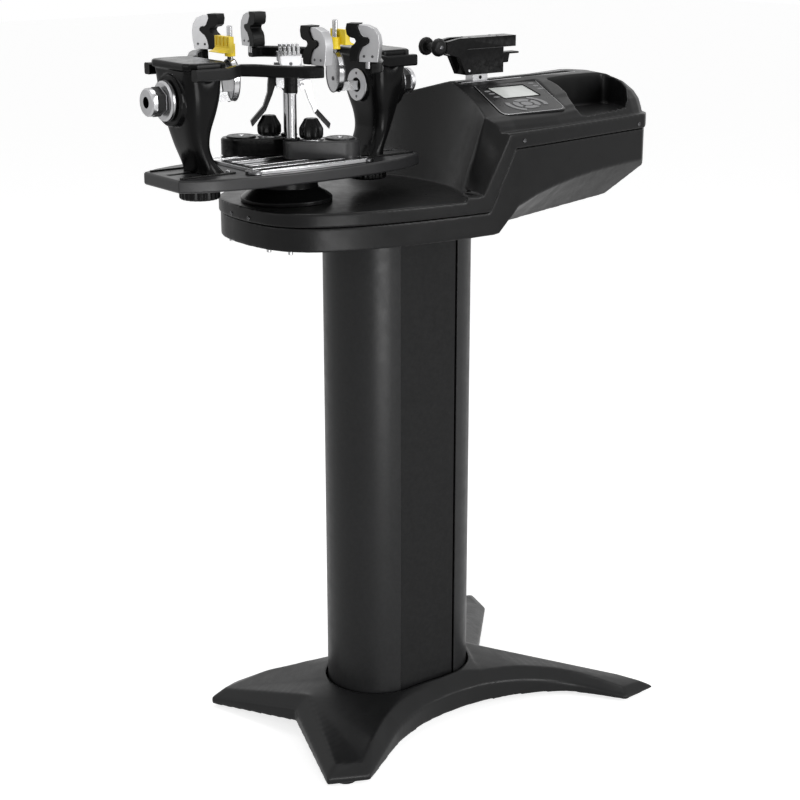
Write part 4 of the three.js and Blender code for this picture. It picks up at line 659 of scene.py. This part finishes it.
# Jaws: two small dark screws on each side of a plate's foot. Each jaw rests turned by its angle.
jaw_turn = {"front_far": 25, "rear_far": -2, "front_near": 8, "rear_near": 35}
jaw_r, jaw_y, jaw_back, jaw_depth = 40, 149, -18, 31
for place, angle in jaw_turn.items():
    end, side = place.split("_")
    inwards = 1 if side == "near" else -1
    pivot = Vector((hub_x + jaw_r * ends[end], -jaw_y * inwards, 0))
    spin = Matrix.Rotation(math.radians(angle), 3, "Z")
    for k, share in enumerate((0.33, 0.72)):
        for face, letter in ((-1, "a"), (1, "b")):
            spot = pivot + spin @ Vector((face * 7.0, inwards * (jaw_back + share * jaw_depth), 0))
            screw(f"jaw_screw_{place}_{k + 1}{letter}", f"jaw_body_{place}", "dark_steel",
                  (spot.x, spot.y, 1086), spin @ Vector((face, 0, 0)), 1.9, 0.6)

# String clamps: disc with its screw, washer and lobed knob on the block; collar, foot and cheeks
# on the stem; pins and tip on the lever. A clamp's place is its disc's, and its turn is in degrees.
clamp_places = {"near": (75, -30, -25), "far": (-30, 72, 155)}
disc_x, knob_x = 71, 29  # from the stem's axis
disc_profile = [(21.2, -0.4), (21.2, 0.3), (20.4, 1.0), (14.2, 1.0), (13.8, 0.5), (13.0, 0.5),
                (12.6, 1.0), (5.4, 1.0), (5.0, 0.3), (0, 0.3)]
washer_profile = [(7, 0), (17.6, 0), (17.6, 1.2), (7, 1.2), (7, 0)]
knob_profile = [(0, 0), (14.4, 0), (16.6, 1.5), (18.0, 5.5), (18.0, 14.5), (16.4, 18.0),
                (11.4, 26.0), (10.4, 28.2), (8.6, 29.0), (0, 29.0)]
collar_profile = [(8.4, 0.2), (9.9, 0.8), (10.1, 2.2), (10.1, 11.5), (9.8, 12.0), (9.8, 13.0),
                  (10.1, 13.5), (10.1, 25.0), (9.9, 26.2), (8.4, 26.8)]
foot_profile = [(8.1, 0), (12.4, 0), (12.4, 2.4), (10.8, 3.6), (8.1, 3.6), (8.1, 0)]
cheek_outline = ((-8.6, 1052.5), (8.6, 1052.5), (10.4, 1061.5), (15.2, 1068.0), (15.2, 1077.0),
                 (-15.2, 1077.0), (-15.2, 1069.5), (-11.5, 1062.5))
tip_outline = ((37.2, 1001.4), (56.8, 979.6), (54.6, 971.4), (33.2, 995.4))


def clamp_way(name, x, y):
    """A level direction, turned as the clamp is."""
    return Matrix.Rotation(math.radians(clamp_places[name][2]), 3, "Z") @ Vector((x, y, 0))


def on_clamp(name, x, y, z):
    """A place on a clamp, with x and y counted from its stem's axis."""
    spun = clamp_way(name, x - disc_x, y)
    return (hub_x + clamp_places[name][0] + spun.x, clamp_places[name][1] + spun.y, z)


for name in clamp_places:
    block, head, lever = f"clamp_base_{name}", f"clamp_post_{name}", f"clamp_lever_body_{name}"
    disc = turned(on_clamp(name, disc_x, 0, 958.1), up, disc_profile, 56)
    fitting(f"clamp_disc_{name}", block, "machined_side", disc, 0.12)
    screw(f"clamp_disc_screw_{name}", block, "satin_aluminium",
          on_clamp(name, disc_x, 0, 958.6), up, 4.4, 1.6)
    washer = turned(on_clamp(name, knob_x, 0, 956.8), up, washer_profile, 40)
    fitting(f"knob_washer_{name}", block, "satin_aluminium", washer, 0.2)
    lobed = turned(on_clamp(name, knob_x, 0, 958.6), up, knob_profile, 96, 7, 0.16)
    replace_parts(fitting(f"lobed_knob_{name}", f"clamp_knob_body_{name}", "black_plastic", lobed,
                        0.4, 40), f"clamp_knob_{name}")
    collar = turned(on_clamp(name, 0, 0, 1024), up, collar_profile, 48)
    fitting(f"clamp_collar_{name}", head, "black_plastic", collar, 0.15)
    foot = turned(on_clamp(name, 0, 0, 956.9), up, foot_profile, 40)
    fitting(f"stem_foot_{name}", head, "black_metal", foot, 0.2)
    for side, letter in ((-1, "a"), (1, "b")):
        pin = turned(on_clamp(name, 16, side * 5.0, 1036), clamp_way(name, 0, side),
                     [(3.0, -0.3), (3.0, 0.6), (2.3, 1.1), (0, 1.2)], 24)
        fitting(f"lever_pin_{name}_{letter}", lever, "bright_steel", pin, 0.08)
        cheek = carried([on_clamp(name, x, side * 5.5, z) for x, z in cheek_outline],
                        clamp_way(name, 0, side * 0.9))
        fitting(f"clamp_cheek_{name}_{letter}", head, "satin_aluminium", cheek, 0.25)
        screw(f"cheek_screw_{name}_{letter}", head, "dark_steel",
              on_clamp(name, 0, side * 6.4, 1066), clamp_way(name, 0, side), 2.4, 0.7)
    tip = carried([on_clamp(name, x, -5.5, z) for x, z in tip_outline], clamp_way(name, 0, 11.0))
    fitting(f"lever_tip_{name}", lever, "black_plastic", tip, 0.8)

# Turntable: rounded rail ends, guide strips, small screws and the lines along the rails.
beam_top, glide_top = 926, 931.3
rail_y, rail_half_width = 63.5, 15.5
strip_outer, strip_inner, strip_start, strip_end = 43, 39.5, 112, 200
for way, end in ((-1, "front"), (1, "rear")):
    for side in (-1, 1):
        label = f"{end}_{side_name[side]}"
        bends = [math.pi * i / 12 - math.pi / 2 for i in range(13)]
        arc = [(hub_x + way * (91.8 + rail_half_width * math.cos(bend)),
                side * rail_y + rail_half_width * math.sin(bend), 926.4) for bend in bends]
        fitting(f"rail_end_{label}", "turntable", "dark_steel", carried(arc, (0, 0, 4.9)), 0.8)
        screw(f"rail_screw_{label}", "turntable", "dark_steel",
              (hub_x + way * 98, side * rail_y, glide_top), up, 3.0, 0.9)
        outline = [(hub_x + way * x, side * y, beam_top) for x, y in
                   ((strip_start, strip_outer), (strip_end, strip_outer),
                    (strip_end, strip_inner), (strip_start, strip_inner))]
        fitting(f"guide_strip_{label}", "turntable", "black_metal",
                carried(outline, (0, 0, 2.2)), 0.4)
    for k, y in enumerate((-24, 24)):
        screw(f"beam_screw_{end}_{k + 1}", "turntable", "bright_steel",
              (hub_x + way * 113, y, beam_top), up, 3.6, 2.2)
for side in (-1, 1):
    for k, y in enumerate((53.0, 74.0)):
        wire(f"rail_line_{side_name[side]}_{k + 1}", "turntable", "bright_steel",
             [(hub_x + x, side * y, glide_top) for x in (-91, 91)], 0.45)

# Floor, light and background.
floor_reach, floor_tone = 14.0, 0.6
floor_glow, floor_glow_direct = 0.44, 0.32  # where it is seen, and what the camera sees besides
sky_light, sky_seen = 0.32, 1.0


def seen_share(tree):
    """1 for what is seen straight on, in a gloss or through glass, 0 for the light on things."""
    path = node(tree, "ShaderNodeLightPath")
    first = node(tree, "ShaderNodeMath", operation="MAXIMUM")
    second = node(tree, "ShaderNodeMath", operation="MAXIMUM")
    tree.links.new(path.outputs["Is Camera Ray"], first.inputs[0])
    tree.links.new(path.outputs["Is Glossy Ray"], first.inputs[1])
    tree.links.new(first.outputs[0], second.inputs[0])
    tree.links.new(path.outputs["Is Transmission Ray"], second.inputs[1])
    return second.outputs[0]


def stage_floor():
    """A floor that is nearly white to the camera, and a little less in the gloss of things."""
    mesh = bpy.data.meshes.new("floor")
    mesh.from_pydata([(-floor_reach, -floor_reach, 0), (floor_reach, -floor_reach, 0),
                      (floor_reach, floor_reach, 0), (-floor_reach, floor_reach, 0)],
                     [], [(0, 1, 2, 3)])
    floor = bpy.data.objects.new("floor", mesh)
    bpy.context.scene.collection.objects.link(floor)
    made = bpy.data.materials.new("floor")
    made.use_nodes = True
    tree = made.node_tree
    shader = tree.nodes["Principled BSDF"]
    shader.inputs["Base Color"].default_value = (*grey(floor_tone), 1)
    shader.inputs["Roughness"].default_value = 0.9
    shader.inputs["Specular IOR Level"].default_value = 0.1
    glow = node(tree, "ShaderNodeEmission")
    path = node(tree, "ShaderNodeLightPath")
    direct = node(tree, "ShaderNodeMath", operation="MULTIPLY")
    direct.inputs[1].default_value = floor_glow_direct
    tree.links.new(path.outputs["Is Camera Ray"], direct.inputs[0])
    lift = node(tree, "ShaderNodeMath", operation="MULTIPLY_ADD")
    lift.inputs[1].default_value = floor_glow
    tree.links.new(seen_share(tree), lift.inputs[0])
    tree.links.new(direct.outputs[0], lift.inputs[2])
    tree.links.new(lift.outputs[0], glow.inputs["Strength"])
    both = node(tree, "ShaderNodeAddShader")
    tree.links.new(shader.outputs[0], both.inputs[0])
    tree.links.new(glow.outputs[0], both.inputs[1])
    tree.links.new(both.outputs[0], tree.nodes["Material Output"].inputs["Surface"])
    mesh.materials.append(made)


def lamp(name, place, aim, size, power):
    data = bpy.data.lights.new(name, "AREA")
    data.shape = "RECTANGLE"
    data.size, data.size_y = size
    data.energy = power
    made = bpy.data.objects.new(name, data)
    made.location = place
    made.rotation_mode = "QUATERNION"
    made.rotation_quaternion = (Vector(aim) - Vector(place)).to_track_quat("-Z", "Y")
    bpy.context.scene.collection.objects.link(made)


stage_floor()
world = bpy.data.worlds.new("studio")
bpy.context.scene.world = world
world.use_nodes = True
sky = world.node_tree
behind = sky.nodes["Background"]
behind.inputs["Color"].default_value = (1, 1, 1, 1)
sky.links.new(ramp(sky, seen_share(sky), 0.0, 1.0, sky_light, sky_seen),
              behind.inputs["Strength"])
lamp("key", (1.25, -3.1, 1.7), (0, 0, 0.75), (1.1, 1.9), 60)
lamp("side", (-2.8, 0.6, 1.9), (0, 0, 0.8), (1.0, 1.8), 14)
lamp("low", (-0.68, -1.92, 0.35), (-0.05, 0, 0.5), (0.9, 0.6), 16)
lamp("top", (0.2, 0.4, 3.3), (0, 0, 0.9), (2.0, 1.2), 34)

# The photograph's camera.
camera = bpy.data.objects.new("camera", bpy.data.cameras.new("camera"))
camera.location = (-1.5381, -2.0232, 1.3097)
camera.rotation_mode = "QUATERNION"
camera.rotation_quaternion = Vector((0.581, 0.759, -0.294)).to_track_quat("-Z", "Y")
camera.data.lens = 75.36
camera.data.sensor_width = 36
bpy.context.scene.collection.objects.link(camera)
bpy.context.scene.camera = camera
bpy.context.scene.view_settings.view_transform = "Standard"
